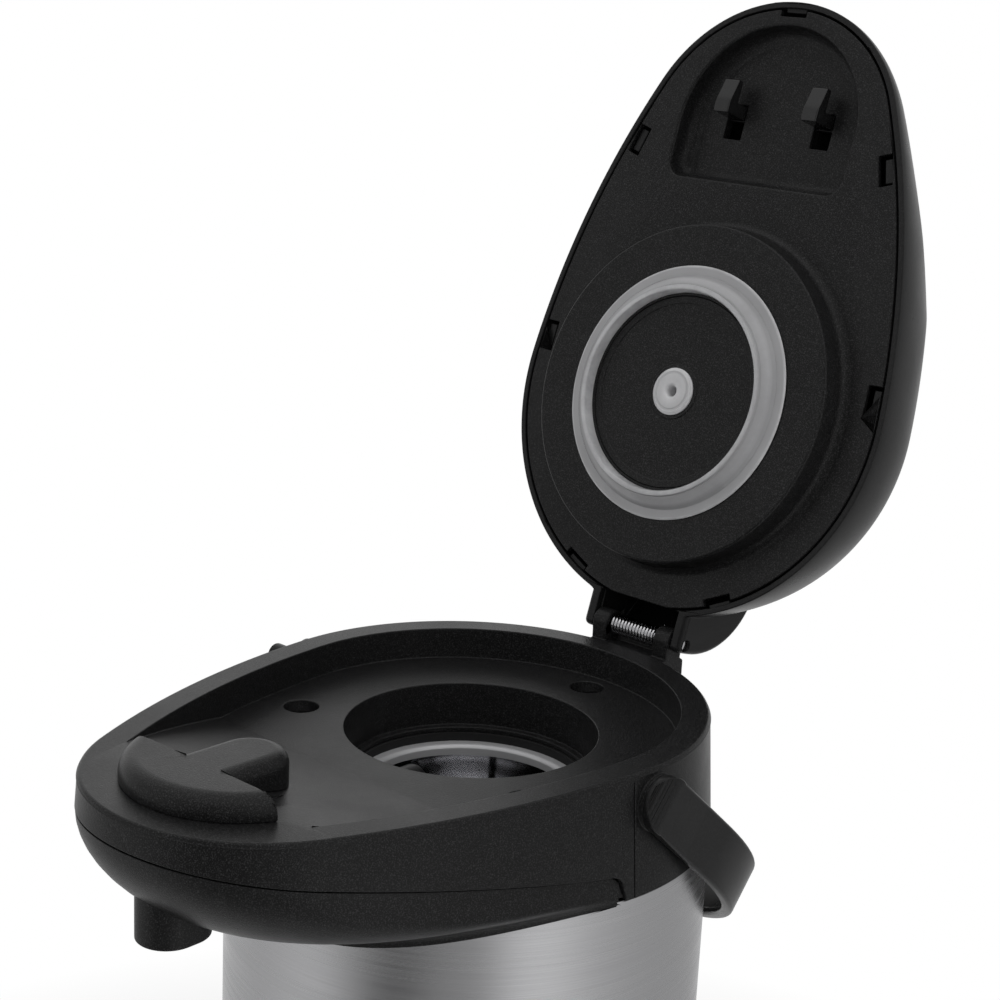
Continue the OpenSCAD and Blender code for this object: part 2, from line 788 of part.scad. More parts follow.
module water_pipe() {
    inlet_y = -mouth_r + 0.4;
    color(white_plastic) at_rim() difference() {
        union() {
            along_y(pipe_r, inlet_y, chamber_y, -pipe_drop);
            translate([0, chamber_y, chamber_low]) cylinder(r = chamber_r, h = chamber_top - chamber_low);
            along_y(pipe_r, chamber_y, nozzle_y, cross_z);
            translate([0, nozzle_y, nozzle_top - 6]) cylinder(r = pipe_r, h = chamber_top - nozzle_top + 6);
        }
        along_y(pipe_bore, inlet_y + over, chamber_y, -pipe_drop);
        translate([0, chamber_y, chamber_low + chamber_wall])
            cylinder(r = chamber_r - chamber_wall, h = chamber_top - chamber_low - 2 * chamber_wall);
        along_y(pipe_bore, chamber_y, nozzle_y, cross_z);
        translate([0, nozzle_y, nozzle_top - 6 - over])
            cylinder(r = pipe_bore, h = cross_z - nozzle_top + 6 + over);
    }
}

module tilt_valve_ball() {
    color(bright_steel) at_rim() translate([0, chamber_y, chamber_low + chamber_wall + ball_r])
        sphere(r = ball_r);
}

elbow_r = pipe_r + 0.5;

module riser_elbow() {
    socket = 12;
    color(black_plastic) at_rim() difference() {
        union() {
            translate([0, tube_y, -pipe_drop - socket]) cylinder(r = elbow_r, h = socket);
            translate([0, tube_y, -pipe_drop]) sphere(r = elbow_r);
            along_y(elbow_r, tube_y, -mouth_r + 3.4, -pipe_drop);
        }
        translate([0, tube_y, -pipe_drop - socket - over])
            cylinder(r = tube_r, h = socket - 4 + over, $fn = 48);
        translate([0, tube_y, -pipe_drop - socket]) cylinder(r = pipe_bore, h = socket, $fn = 48);
        along_y(pipe_bore, tube_y, -mouth_r, -pipe_drop);
    }
}

module suction_tube() {
    top = rim_z - pipe_drop - 4;
    foot = flask_floor + vacuum_gap + flask_t + tube_foot_gap;
    color(bright_steel) translate([0, tube_y, 0]) pipe(tube_r, tube_r - tube_wall, foot, top);
}

module pipe_seal() {
    color(dark_rubber) at_rim() difference() {
        along_y(elbow_r, -mouth_r + 0.4, -mouth_r + 3.4, -pipe_drop);
        along_y(pipe_bore, -mouth_r, -mouth_r + 4, -pipe_drop);
    }
}

// Hinge

bracket_top = -1.6;
bracket_back = hinge_y + 5.6;
bracket_low = -34;

module bracket_screw_places() {
    for (x = [-10, 10]) translate([x, bracket_back - 4, -20]) children();
}

module hinge_bracket() {
    color(black_plastic) at_rim() difference() {
        union() {
            side_prism([[head_r - 5, bracket_top], [bracket_back - 3, bracket_top],
                [bracket_back, bracket_top - 2], [bracket_back, -16], [head_r + 3, bracket_low],
                [head_r - 5, bracket_low]], bracket_w);
            for (side = [-1, 1]) translate([side * (bracket_w - knuckle_t / 2), 0, 0]) {
                translate([0, hinge_y, hinge_z]) along_x(knuckle_r, knuckle_t / 2);
                side_prism([[hinge_y - knuckle_r, bracket_top - over], [hinge_y - knuckle_r, hinge_z],
                    [hinge_y + knuckle_r, hinge_z], [hinge_y + knuckle_r - 1, bracket_top - over]],
                    knuckle_t / 2);
            }
            // Low wall behind the spring
            difference() {
                side_prism([[hinge_y, bracket_top - over], [hinge_y, hinge_z - coil_r],
                    [hinge_y + knuckle_r, hinge_z], [hinge_y + knuckle_r - 1, bracket_top - over]],
                    bracket_w - knuckle_t + 0.5);
                translate([0, hinge_y, hinge_z]) along_x(coil_r + wire_d / 2 + run, bracket_w);
                translate([-coil_len / 2 - wire_d, hinge_y, bracket_top]) cube([2 * wire_d, far, far]);
            }
        }
        translate([0, 0, -collar_drop])
            cylinder(r1 = head_r + collar_flare + fit, r2 = head_r + fit, h = collar_drop + 0.001,
            $fn = 180);
        translate([0, hinge_y, hinge_z]) along_x(pin_r, far);
        bracket_screw_places() rotate([-90, 0, 0]) translate([0, 0, -20])
            cylinder(r = 1.6, h = 40, $fn = 24);
        bracket_screw_places() rotate([-90, 0, 0]) cylinder(r = 3.4, h = 20, $fn = 32);
    }
}

module bracket_screws() {
    color(bright_steel) at_rim() bracket_screw_places() rotate([-90, 0, 0]) screw(3, 2, 1.6, 12);
}

module hinge_pin() {
    color(bright_steel) at_rim() translate([0, hinge_y, hinge_z])
        along_x(pin_r, bracket_w + ear_gap + ear_t - pin_in);
}

// Hinge spring: one unbroken wire wound round the pin, with a leg at each end that rests on the bracket
wire_sides = 6;
rings_a_coil = 8;
coil_len = 2 * (bracket_w - knuckle_t) - wire_d - 1;
coil_pitch = coil_len / coils;
leg = 4.2;

function coil_point(turns) = [-coil_len / 2 + coil_pitch * turns, coil_r * cos(360 * turns),
    coil_r * sin(360 * turns)];
function coil_path() = concat(
    [coil_point(0) + [0, 0, -leg], coil_point(0) + [0, 0, -leg + wire_d]],
    [for (i = [0 : rings_a_coil * coils]) coil_point(i / rings_a_coil)],
    [coil_point(coils) + [0, 0, leg - wire_d], coil_point(coils) + [0, 0, leg]]
);
function unit(v) = v / norm(v);
function path_dir(p, i) = unit(p[min(i + 1, len(p) - 1)] - p[max(i - 1, 0)]);
function ring_side(p, i) = unit(cross(path_dir(p, i), [0.02, p[i][1] + 0.001, p[i][2]]));
function tube_ring(p, i) = let (d = path_dir(p, i), a = ring_side(p, i), b = cross(d, a))
    [for (k = [0 : wire_sides - 1]) p[i] + wire_d / 2 * (cos(360 * k / wire_sides) * a
        + sin(360 * k / wire_sides) * b)];
function turn_gap() = min([for (i = [0 : rings_a_coil])
    norm(coil_point(1 + i / rings_a_coil) - coil_point(i / rings_a_coil)) - wire_d]);

module wire(p) {
    n = len(p);
    s = wire_sides;
    points = [for (i = [0 : n - 1]) each tube_ring(p, i)];
    sides = [for (i = [0 : n - 2]) for (k = [0 : s - 1]) each [
        [i * s + k, i * s + (k + 1) % s, (i + 1) * s + k],
        [i * s + (k + 1) % s, (i + 1) * s + (k + 1) % s, (i + 1) * s + k]]];
    caps = [for (k = [1 : s - 2]) each [[0, k + 1, k],
        [(n - 1) * s, (n - 1) * s + k, (n - 1) * s + k + 1]]];
    polyhedron(points, concat(sides, caps));
}

module hinge_spring() {
    echo(hinge_spring_least_gap = turn_gap());
    color(bright_steel) at_rim() translate([0, hinge_y, hinge_z]) wire(coil_path());
}

// Handle

// Inner end of the pivots, and how far their outer ends stay behind the strap's outer face
pivot_from = head_r - 6;
cap_face = 1.6;

module handle_outline(x, end_r) {
    difference() {
        union() {
            translate([0, arm_len]) circle(r = x, $fn = 120);
            translate([-x, 0]) square([2 * x, arm_len]);
        }
        translate([0, arm_len]) circle(r = x - bail_t, $fn = 120);
        translate([-(x - bail_t), -end_r]) square([2 * (x - bail_t), arm_len + end_r]);
        translate([-2 * x, -2 * x]) square([4 * x, 2 * x]);
    }
}

groove_w = bail_w - 2 * groove_edge;
end_drop = bail_t - 0.8;
end_round = (bail_w * bail_w / 4 + end_drop * end_drop) / (2 * end_drop);

module handle_groove() {
    r = bail_x - bail_t + groove_depth;
    start = bail_w;
    difference() {
        union() {
            translate([0, arm_len]) circle(r = r, $fn = 120);
            translate([-r, start]) square([2 * r, arm_len - start]);
        }
        translate([-far, -far]) square([2 * far, far + start]);
    }
}

module handle() {
    color(satin_black) at_rim() translate([0, 0, -pivot_drop]) rotate([-hang, 0, 0]) difference() {
        union() {
            translate([0, 0, -bail_w / 2]) linear_extrude(bail_w) handle_outline(bail_x, 1);
            // Round ends whose outer face falls away towards the head
            for (side = [-1, 1]) intersection() {
                translate([side * (bail_x - bail_t / 2), 0, 0]) along_x(bail_w / 2, bail_t / 2);
                translate([side * (bail_x - end_round), 0, 0])
                    cylinder(r = end_round, h = bail_w + over, center = true);
            }
        }
        translate([0, 0, -groove_w / 2]) linear_extrude(groove_w) handle_groove();
        along_x(pivot_r + shaft_fit, bail_x - cap_face + run);
    }
}

module handle_pivots() {
    half = (bail_x - cap_face - pivot_from) / 2;
    color(black_plastic) at_rim() for (side = [-1, 1])
        translate([side * (pivot_from + half), 0, -pivot_drop]) along_x(pivot_r, half);
}

// Lid

fall_y = lid_fall - nose_reach;
dome_steps = 9;
// Exponent of the shoulder's curve: 1 is a round quarter, more is flatter
dome_power = 1.25;

// Height of the lid's top over a place along the centre line
function top_at(y) =
    lid_h - (lid_h - lid_tip_h) * max(0, fall_y - y) / (fall_y + nose_reach);

// The shoulder runs in further towards the tip
tip_zone = 100;
function shoulder_at(y) =
    tip_shoulder + (lid_shoulder - tip_shoulder) * min(1, (y + nose_reach) / tip_zone);

// One ring of the lid's outside, from the upright edge at 0 to the top at 90 degrees
function dome_ring(angle, inset) =
    let (
        outline = egg_points(0),
        one_in = egg_points(-1),
        rise = pow(sin(angle), dome_power),
        run_in = 1 - pow(cos(angle), dome_power)
    )
    [for (k = [0 : len(outline) - 1])
        let (p = outline[k] + (one_in[k] - outline[k]) * (shoulder_at(outline[k][1]) * run_in + inset))
        [p[0], p[1], lid_edge + (top_at(p[1]) - lid_edge) * rise - inset * angle / 90]];

module dome(inset, z_low) {
    loft(concat([egg_ring(z_low, -inset)],
        [for (i = [0 : dome_steps]) dome_ring(90 * i / dome_steps, inset)]));
}

ear_in = bracket_w + ear_gap;
ear_out = ear_in + ear_t;
notch_y = head_r - 4;
hinge_back = 3.1;

// The humped housing at the back of the lid, seen from the side
housing_len = 26;
function housing(inset) =
    let (base = hinge_z + 4, back = hinge_y + hinge_back - inset, top = lid_h - 1 - inset)
    concat(
        [[hinge_y - housing_len, lid_gap + inset - 2], [back, lid_gap + inset - 2]],
        [for (a = [0 : 15 : 90]) [back - (housing_len + hinge_back) * (1 - cos(a)),
            base + (top - base) * sin(a)]]
    );

module clip_places() {
    half = egg_half(0, nose_reach);
    for (i = [0, 9, 15, 25]) {
        p = half[i];
        q = half[i + 1];
        a = i == 0 ? 0 : atan2(q[1] - p[1], q[0] - p[0]);
        translate([p[0], p[1], 0]) rotate([0, 0, a]) children();
        if (i > 0) mirror([1, 0, 0]) translate([p[0], p[1], 0]) rotate([0, 0, a]) children();
    }
}

clip_w = 11;
clip_depth = 3.4;

module lid_cover() {
    tab_gap = 0.5;
    color(satin_black) on_lid() difference() {
        union() {
            difference() {
                union() {
                    dome(0, lid_gap);
                    intersection() {
                        side_prism(housing(0), ear_out);
                        translate([-far, -far, lid_gap]) cube([2 * far, 2 * far, far]);
                    }
                }
                dome(lid_t, -over);
                side_prism(housing(lid_t), ear_in - 0.2);
            }
            // Clips that hold the inner plate
            intersection() {
                clip_places() translate([-clip_w / 2 + 0.6, 0.3, 1.2])
                    cube([clip_w - 1.2, lid_t + clip_depth - 0.6, 2.6]);
                egg_slab(0, 8, -0.3);
            }
        }
        // Room for the bracket, its knuckles and the pin
        translate([-ear_in, notch_y, -over]) cube([2 * ear_in, far, over + lid_gap + 3]);
        translate([0, hinge_y, hinge_z]) along_x(knuckle_r + 1.5, ear_in - 0.1);
        translate([0, hinge_y, hinge_z]) along_x(pin_r + shaft_fit, ear_out + over);
        // Openings for the button, the lock and the release tab
        translate([0, 0, lid_h / 2]) cylinder(r = sleeve_r + fit, h = far);
        translate([0, 0, bezel_low]) cylinder(r = bezel_r + fit, h = far);
        translate([-lock_w - run, lock_y - lock_stem, lid_h / 2])
            cube([2 * (lock_w + run), lock_travel + 2 * lock_stem, far]);
        translate([-tab_w - tab_gap, -far, tab_low - tab_gap])
            cube([2 * (tab_w + tab_gap), far + tab_back + latch_travel + tab_gap,
                tab_high - tab_low + 2 * tab_gap]);
    }
}

tip_wall = 1.6;

module tip_outline(extra) {
    r = block_r + tip_gap + extra;
    back = stem_y + 6 + extra;
    translate([0, block_y]) circle(r = r, $fn = 96);
    translate([-r, block_y]) square([2 * r, back - block_y]);
}

module lid_inner() {
    top = lid_gap + plate_t;
    foot = 4;
    wall = 2.2;
    color(satin_black) on_lid() difference() {
        union() {
            egg_slab(lid_gap, top, -lid_t - plate_gap);
            rotate_extrude() polygon([[0, -disc_drop], [disc_r - 1, -disc_drop],
                [disc_r, -disc_drop + 1], [disc_r, lid_gap - foot], [disc_r + 1.2, lid_gap - 1.2],
                [disc_r + foot, lid_gap], [disc_r + foot, lid_gap + 0.5], [0, lid_gap + 0.5]]);
            translate([0, 0, lid_gap]) linear_extrude(tip_depth + tip_wall - lid_gap) tip_outline(tip_wall);
            pipe(ring_inner + 1.2, ring_inner - 2, -disc_drop - 1.8, top + 4);
            // Wall that the latch's springs push against
            translate([-spring_x - 4, spring_end, top - 1])
                cube([2 * spring_x + 8, 2, carriage_z + carriage_t - top + 2]);
        }
        // Hollow of the disc above its face, and the well that holds the pump's floor
        translate([0, 0, -disc_drop + wall]) difference() {
            cylinder(r = disc_r - wall, h = disc_drop - wall + top + over);
            translate([0, 0, -over]) cylinder(r = ring_inner + 1.2, h = far);
        }
        translate([0, 0, -disc_drop - far]) cylinder(r = ring_inner - 2, h = 2 * far);
        translate([0, 0, -disc_drop - over]) cylinder(r = ring_inner + 0.02, h = over + 0.001);
        // Recess at the tip, with a slot for each hook
        translate([0, 0, -over]) linear_extrude(tip_depth + over) tip_outline(0);
        for (side = [-1, 1]) translate([side * hook_x - hook_w / 2 - slot_gap, slot_y, 0])
            cube([hook_w + 2 * slot_gap, slot_len, far]);
        // Straight rear edge in front of the hinge, and the notches for the cover's clips
        translate([-ear_out - 0.4, notch_y, -over]) cube([2 * ear_out + 0.8, far, far]);
        clip_places() translate([-clip_w / 2, 0, -over]) cube([clip_w, lid_t + clip_depth, far]);
    }
}

// Seal, vent and pump

module seal_ring() {
    face = disc_drop;
    rest = deck_drop - 0.1;
    plug = mouth_r - 0.5;
    color(silicone) on_lid() rotate_extrude() polygon([[ring_inner + 1.4, -face - fit],
        [ring_inner + 1.4, -face - 1.8], [ring_inner - 1, -face - 1.8],
        [ring_inner - 0.6, -ring_drop], [ring_inner + 1.2, -ring_drop], [plug - 0.4, -rest - 1.6],
        [plug, -rest], [ring_r - 0.8, -rest], [ring_r, -rest + 0.5], [ring_r - 0.3, -face - fit]]);
}

floor_low = -disc_drop - 1.6;

module pump_floor() {
    color(satin_black) on_lid()
        pipe(ring_inner - 2 - fit, grommet_r - 1.6, floor_low, floor_low + pump_floor_t);
}

module vent_grommet() {
    color(silicone) on_lid() rotate_extrude($fn = 64) polygon([[vent_r, floor_low - 1.4],
        [grommet_r - 2, floor_low - 1.4], [grommet_r, floor_low - 0.6], [grommet_r, floor_low],
        [grommet_r - 1.6, floor_low], [grommet_r - 1.6, floor_low + pump_floor_t],
        [grommet_r, floor_low + pump_floor_t], [grommet_r - 1, floor_low + pump_floor_t + 1.4],
        [vent_r, floor_low + pump_floor_t + 1.4]]);
}

button_top = lid_h + 2.4;
button_under = button_top - 1.6 - button_t;
bellows_low = floor_low + pump_floor_t;
flap_t = 0.8;
intake_r = 1.2;

module intake_flap() {
    color(silicone) on_lid() pipe(7, 2.4 * intake_r, button_under - flap_t, button_under);
}

module bellows() {
    h = button_under - bellows_low;
    step = h / (2 * folds);
    side = [for (i = [0 : 2 * folds]) [bellows_r - (i % 2 == 0 ? fold_depth : 0), bellows_low + i * step]];
    color(dark_rubber) on_lid() rotate_extrude($fn = 64) polygon(concat(side,
        [for (i = [2 * folds : -1 : 0]) side[i] - [bellows_t, 0]]));
}

module pump_spring() {
    color(bright_steel) on_lid() pipe(pump_spring_r, pump_spring_r - 2, bellows_low, button_under);
}

sleeve_low = lid_h - button_skirt - stroke - 2;
sleeve_bore = button_r + 0.5;
sleeve_r = sleeve_bore + sleeve_t;
bezel_r = sleeve_bore + bezel_w;
bezel_low = lid_h - 1.2;
bezel_top = lid_h + 0.9;

module button_sleeve() {
    color(satin_black) on_lid() difference() {
        rotate_extrude() polygon([[sleeve_bore, sleeve_low], [sleeve_r, sleeve_low],
            [sleeve_r, bezel_low], [bezel_r, bezel_low], [bezel_r, bezel_top - 1.5],
            [bezel_r - 2, bezel_top], [sleeve_bore, bezel_top]]);
        translate([-lock_w - 2 * run, -far, lock_z - 2 * run])
            cube([2 * lock_w + 4 * run, far, lock_t + 4 * run]);
    }
}

module pump_button() {
    skirt_low = lid_h - button_skirt;
    color(satin_black) on_lid() difference() {
        rotate_extrude() polygon([[0, skirt_low], [button_r, skirt_low], [button_r, lid_h + 0.6],
            [button_r - 1.6, lid_h + 1.6], [button_r - 12, button_top - 0.2], [0, button_top]]);
        translate([0, 0, skirt_low - over])
            cylinder(r = button_r - 2.2, h = button_under - skirt_low + over);
        cylinder(r = intake_r, h = far, $fn = 24);
    }
}

// Lock

lock_t = 2.4;
lock_z = lid_h - button_skirt - lock_t - 0.6;
lock_w = 4.5;
lock_stem = 2.5;

module lock_slider() {
    tip = -button_r - 0.8;
    knob_z = lid_h + run;
    knob_r = 4;
    color(black_plastic) on_lid() {
        translate([-lock_w, lock_y - 2 * lock_stem, lock_z])
            cube([2 * lock_w, tip - lock_y + 2 * lock_stem, lock_t]);
        translate([-lock_w, lock_y - lock_stem + run, lock_z])
            cube([2 * lock_w, 2 * (lock_stem - run), knob_z - lock_z + over]);
        hull() for (x = [-1, 1]) translate([x * (knob_w - knob_r), lock_y, knob_z])
            cylinder(r1 = knob_r, r2 = knob_r - 0.8, h = 2.2, $fn = 32);
    }
}

// Latch

carriage_z = tip_depth + tip_wall + 0.4;
carriage_t = 2.6;
carriage_y = [wing_y - 3, block_y + 13];
tab_low = carriage_z + 0.2;
tab_high = tab_low + 7;
tab_back = -nose_reach + 17;

module latch_carriage() {
    stem_y0 = slot_y + slot_gap;
    toe_y = wing_y - hook_catch;
    color(black_plastic) on_lid() {
        translate([-hook_x - hook_w / 2 - 2, carriage_y[0], carriage_z])
            cube([2 * hook_x + hook_w + 4, carriage_y[1] - carriage_y[0], carriage_t]);
        for (side = [-1, 1]) translate([side * hook_x, 0, 0])
            side_prism([[stem_y0 + stem_t, carriage_z], [stem_y0 + stem_t, 1 - hook_drop],
                [stem_y0 + stem_t - 1, -hook_drop], [stem_y0 + 1, -hook_drop],
                [stem_y0 - 2, 0.7 - hook_drop], [toe_y, catch_z - toe_t], [toe_y, catch_z - 0.4],
                [toe_y + 0.4, catch_z], [stem_y0, catch_z], [stem_y0, carriage_z]], hook_w / 2);
    }
}

module latch_release() {
    color(black_plastic) on_lid() {
        translate([-8, tab_back - 2, carriage_z]) cube([16, carriage_y[0] - tab_back + 2, carriage_t]);
        intersection() {
            dome(0.4, 0);
            translate([-tab_w, -far, tab_low]) cube([2 * tab_w, far + tab_back, tab_high - tab_low]);
        }
    }
}

spring_x = 14;
spring_end = carriage_y[1] + 12;
latch_spring_r = carriage_t / 2 + carriage_z - tip_depth - tip_wall - run;

module latch_springs() {
    color(bright_steel) on_lid() for (x = [-spring_x, spring_x])
        translate([x, carriage_y[1], carriage_z + carriage_t / 2])
        rotate([-90, 0, 0]) cylinder(r = latch_spring_r, h = spring_end - carriage_y[1], $fn = 32);
}

swivel_base();
swivel_pads();
swivel_clip();
bottom_cap();
body_shell();
flask_outer();
flask_inner();
flask_cushion();
neck_gasket();
shoulder_ring();
head();
deck_screws();
spout_block();
front_cover();
spout_nozzle();
water_pipe();
tilt_valve_ball();
riser_elbow();
suction_tube();
pipe_seal();
hinge_bracket();
hinge_pin();
hinge_spring();
bracket_screws();
handle();
handle_pivots();
lid_cover();
lid_inner();
seal_ring();
pump_floor();
vent_grommet();
intake_flap();
bellows();
pump_spring();
button_sleeve();
pump_button();
lock_slider();
latch_carriage();
latch_release();
latch_springs();
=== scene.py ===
"""Looks of a pump-top vacuum airpot: lid open, handle hanging, brushed steel body, black textured head."""

import json
import math

import bmesh
import bpy
from mathutils import Matrix, Vector


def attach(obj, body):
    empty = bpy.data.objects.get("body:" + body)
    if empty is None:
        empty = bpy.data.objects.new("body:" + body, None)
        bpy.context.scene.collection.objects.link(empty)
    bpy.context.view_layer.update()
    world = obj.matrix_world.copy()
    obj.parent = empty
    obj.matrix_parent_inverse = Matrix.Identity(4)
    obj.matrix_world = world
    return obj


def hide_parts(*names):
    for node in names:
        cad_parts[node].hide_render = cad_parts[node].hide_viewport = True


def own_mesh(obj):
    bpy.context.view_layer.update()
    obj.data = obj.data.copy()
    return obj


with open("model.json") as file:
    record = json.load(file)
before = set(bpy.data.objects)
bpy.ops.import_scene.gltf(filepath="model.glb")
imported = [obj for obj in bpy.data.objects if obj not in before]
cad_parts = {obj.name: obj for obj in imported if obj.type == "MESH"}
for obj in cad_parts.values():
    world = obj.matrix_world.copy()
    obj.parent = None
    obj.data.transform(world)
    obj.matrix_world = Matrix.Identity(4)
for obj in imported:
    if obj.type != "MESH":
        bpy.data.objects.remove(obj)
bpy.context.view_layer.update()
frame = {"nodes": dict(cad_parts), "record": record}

MM = 0.001

# Driving dimensions, in millimetres: the same values as the solids have
RIM_Z = 306
HEAD_R = 80
NOSE_REACH = 148
FLANK_R = 302
FLANK_FROM = math.radians(86.5)
RIM_W = 9.8
DECK_DROP = 11.3
DECK_T = 2.5
HEAD_WALL = 2.6
COLLAR_DROP = 41
COLLAR_FLARE = 3
FOLD_Y = -58
RAMP_TOP_Y = -112
MOUTH_R = 43
THROAT_WALL = 3
LEDGE_DROP = 27
LEDGE_T = 2
LEDGE_R = 40.4
BODY_R = 82.5
SHELL_T = 1
FRONT_DROP = 9.8
JOINT_Y = -10.8
JOINT_X = 84.2
WALL_LEAN = 0.073
SEAM_SLOPE = 0.172
STEP_Y = -15
PORT_Z = -22
COVER_DROP = 55.7
COVER_CLIMB = 58
COVER_LAP = 1
COVER_T = 2.4
BOWL_BELLY = 1.8
BOWL_FALL = 2.6
BOWL_SIDE = 22
NOZZLE_W = 20
NOZZLE_LEN = 24
NOZZLE_Y = -127
NOZZLE_DROP = 44.5
NOZZLE_TOP = -16.5
BLOCK_R = 37
BLOCK_Y = -101
BLOCK_H = 7.6
BLOCK_ROUND = 6
WING_Y = -116
STEM_W = 12
STEM_ROUND = 5
STEM_Y = -86
SCREW_RING_R = 60.3
WELL_R = 6
WELL_DEPTH = 6.5
BOSS_R = 8
BOSS_LEN = 7
SCREW_R = 1.9
SCREW_LEN = 34
SCREW_HOLE_R = 2.1
HINGE_Y = 87.4
HINGE_Z = 4.2
LID_OPEN = math.radians(108)
BRACKET_W = 17.5
KNUCKLE_T = 6.5
KNUCKLE_R = 4.8
EAR_IN = 18.2
EAR_OUT = 22.7
PIN_R = 2
PIN_IN = 1.2
WIRE_D = 0.9
COIL_R = 3.3
COILS = 14
PIVOT_DROP = 12
PIVOT_R = 4
PIVOT_RINGS = ((9.2, 81.7), (8.9, 81.88), (8.6, 82.05))
HANG = math.radians(40.8)
BAIL_X = 86.4
BAIL_T = 4.2
BAIL_W = 19
BAIL_GAP = 0.5
ARM_LEN = (BODY_R + BAIL_GAP + BAIL_W / 2 * math.sin(HANG)) / math.cos(HANG) - (BAIL_X - BAIL_T)
GROOVE_DEPTH = 2
GROOVE_EDGE = 2.8
CAP_FACE = 1.6
LID_H = 41
LID_TIP_H = 27
FALL_Y = 73 - NOSE_REACH
LID_SHOULDER = 14.3
TIP_SHOULDER = 34
TIP_ZONE = 100
DOME_POWER = 1.25
LID_EDGE = 2.5
LID_T = 2.2
LID_GAP = 0.5
PLATE_GAP = 0.8
PLATE_T = 2.2
DISC_R = 62
DISC_DROP = 10.2
TIP_DEPTH = 9.2
RING_R = 46.5
RING_INNER = 37.2
RING_DROP = 16.2
GROMMET_R = 8.6
BUTTON_R = 39
STROKE = 24
LATCH_TRAVEL = 4
BUTTON_SKIRT = 8
BEZEL_R = 44.5
SLEEVE_R = 41.5
HOOK_X = 19.4
HOOK_W = 6.6
CATCH_Z = 3.6
TOE_T = 2.8
HOOK_DROP = 1.8
HOOK_CATCH = 1.8
SLOT_Y = WING_Y + 5.6
SLOT_LEN = 13
SLOT_GAP = 0.6
STEM_T = 5
POCKET_GAP = 1
TIP_WALL = 1.6
CARRIAGE_Z = TIP_DEPTH + TIP_WALL + 0.4
CARRIAGE_T = 2.6
TAB_LOW = CARRIAGE_Z + 0.2
TAB_HIGH = TAB_LOW + 7
TAB_BACK = -NOSE_REACH + 17
LOCK_Y = -62
TAB_W = 13
SPRING_X = 14
SPRING_Y = -88
SPRING_GAP = 0.35
SPRING_LEN = 11.3
FAR = 300

# Clearances
BORE_FIT = 0.08
SEAT_FIT = 0.05
PIPE_ROOM = 4.35

# Arcs: lists of angles, and the points that they give


def quarter(steps, first=0):
    return [math.pi / 2 * k / steps for k in range(first, steps + 1)]


def half_turn(steps, start=0):
    return [start + math.pi * k / steps for k in range(steps + 1)]


def full_turn(steps):
    return [2 * math.pi * k / steps for k in range(steps)]


def sweep(start, extent, steps):
    """Angles from a start in degrees, over an extent in degrees."""
    return [math.radians(start + extent * k / steps) for k in range(steps + 1)]


def arc(cx, cy, r, angles):
    return [(cx + r * math.cos(a), cy + r * math.sin(a)) for a in angles]


# Mesh helpers


def piece_from(name, bm):
    bmesh.ops.recalc_face_normals(bm, faces=bm.faces)
    mesh = bpy.data.meshes.new(name)
    bm.to_mesh(mesh)
    bm.free()
    piece = bpy.data.objects.new(name, mesh)
    bpy.context.scene.collection.objects.link(piece)
    return piece


def loft(name, rings, closed=False, strips=False):
    """A skin over rings of (x, y, z) points in millimetres, capped at both ends or closed on itself.

    Strips close a bent ring that is the same on both sides: they run level from side to side.
    """
    bm = bmesh.new()
    rows = [[bm.verts.new(Vector(p) * MM) for p in ring] for ring in rings]
    count = len(rows[0])
    pairs = list(zip(rows, rows[1:]))
    if closed:
        pairs.append((rows[-1], rows[0]))
    for low, high in pairs:
        for k in range(count):
            bm.faces.new((low[k], low[(k + 1) % count], high[(k + 1) % count], high[k]))
    for ring in () if closed else (rows[0], rows[-1]):
        if not strips:
            bm.faces.new(ring)
            continue
        for k in range(count // 2):
            corners = (ring[k], ring[k + 1], ring[count - k - 1], ring[(count - k) % count])
            bm.faces.new(list(dict.fromkeys(corners)))
    return piece_from(name, bm)


def prism(name, points, low, high):
    return loft(name, [[(x, y, z) for x, y in points] for z in (low, high)])


def side_prism(name, points, half, middle=0):
    """An outline of (y, z) points, pushed out to both sides of the centre line."""
    return loft(name, [[(x, y, z) for y, z in points] for x in (middle - half, middle + half)])


def turned(name, profile, centre=(0, 0), steps=144):
    """A closed profile of (radius, z) points, turned round an upright axis."""
    bm = bmesh.new()
    rows = []
    for r, z in profile:
        if r < 1e-6:
            rows.append([bm.verts.new(Vector((centre[0], centre[1], z)) * MM)])
            continue
        rows.append([bm.verts.new(Vector((x, y, z)) * MM) for x, y in arc(*centre, r, full_turn(steps))])
    for low, high in zip(rows, rows[1:] + rows[:1]):
        for k in range(steps):
            lower = low[k % len(low)], low[(k + 1) % len(low)]
            upper = high[(k + 1) % len(high)], high[k % len(high)]
            unique = list(dict.fromkeys(lower + upper))
            if len(unique) > 2:
                bm.faces.new(unique)
    return piece_from(name, bm)


def rod(name, r, start, end, steps=64):
    """A round bar between two points in millimetres."""
    start, end = Vector(start), Vector(end)
    spin = (end - start).to_track_quat("Z", "Y")
    section = arc(0, 0, r, full_turn(steps))
    return loft(name, [[middle + spin @ Vector((x, y, 0)) for x, y in section] for middle in (start, end)])


def hinge_rod(name, r, left, right, steps=64):
    """A bar on the lid's hinge axis."""
    return rod(name, r, (left, HINGE_Y, HINGE_Z), (right, HINGE_Y, HINGE_Z), steps)


def pivot_rod(name, r, side, near, far, steps=64):
    """A bar on the handle's axis, on one side of the head."""
    return rod(name, r, (side * near, 0, -PIVOT_DROP), (side * far, 0, -PIVOT_DROP), steps)


def block(name, low, high):
    x0, y0, z0 = low
    x1, y1, z1 = high
    return prism(name, [(x0, y0), (x1, y0), (x1, y1), (x0, y1)], z0, z1)


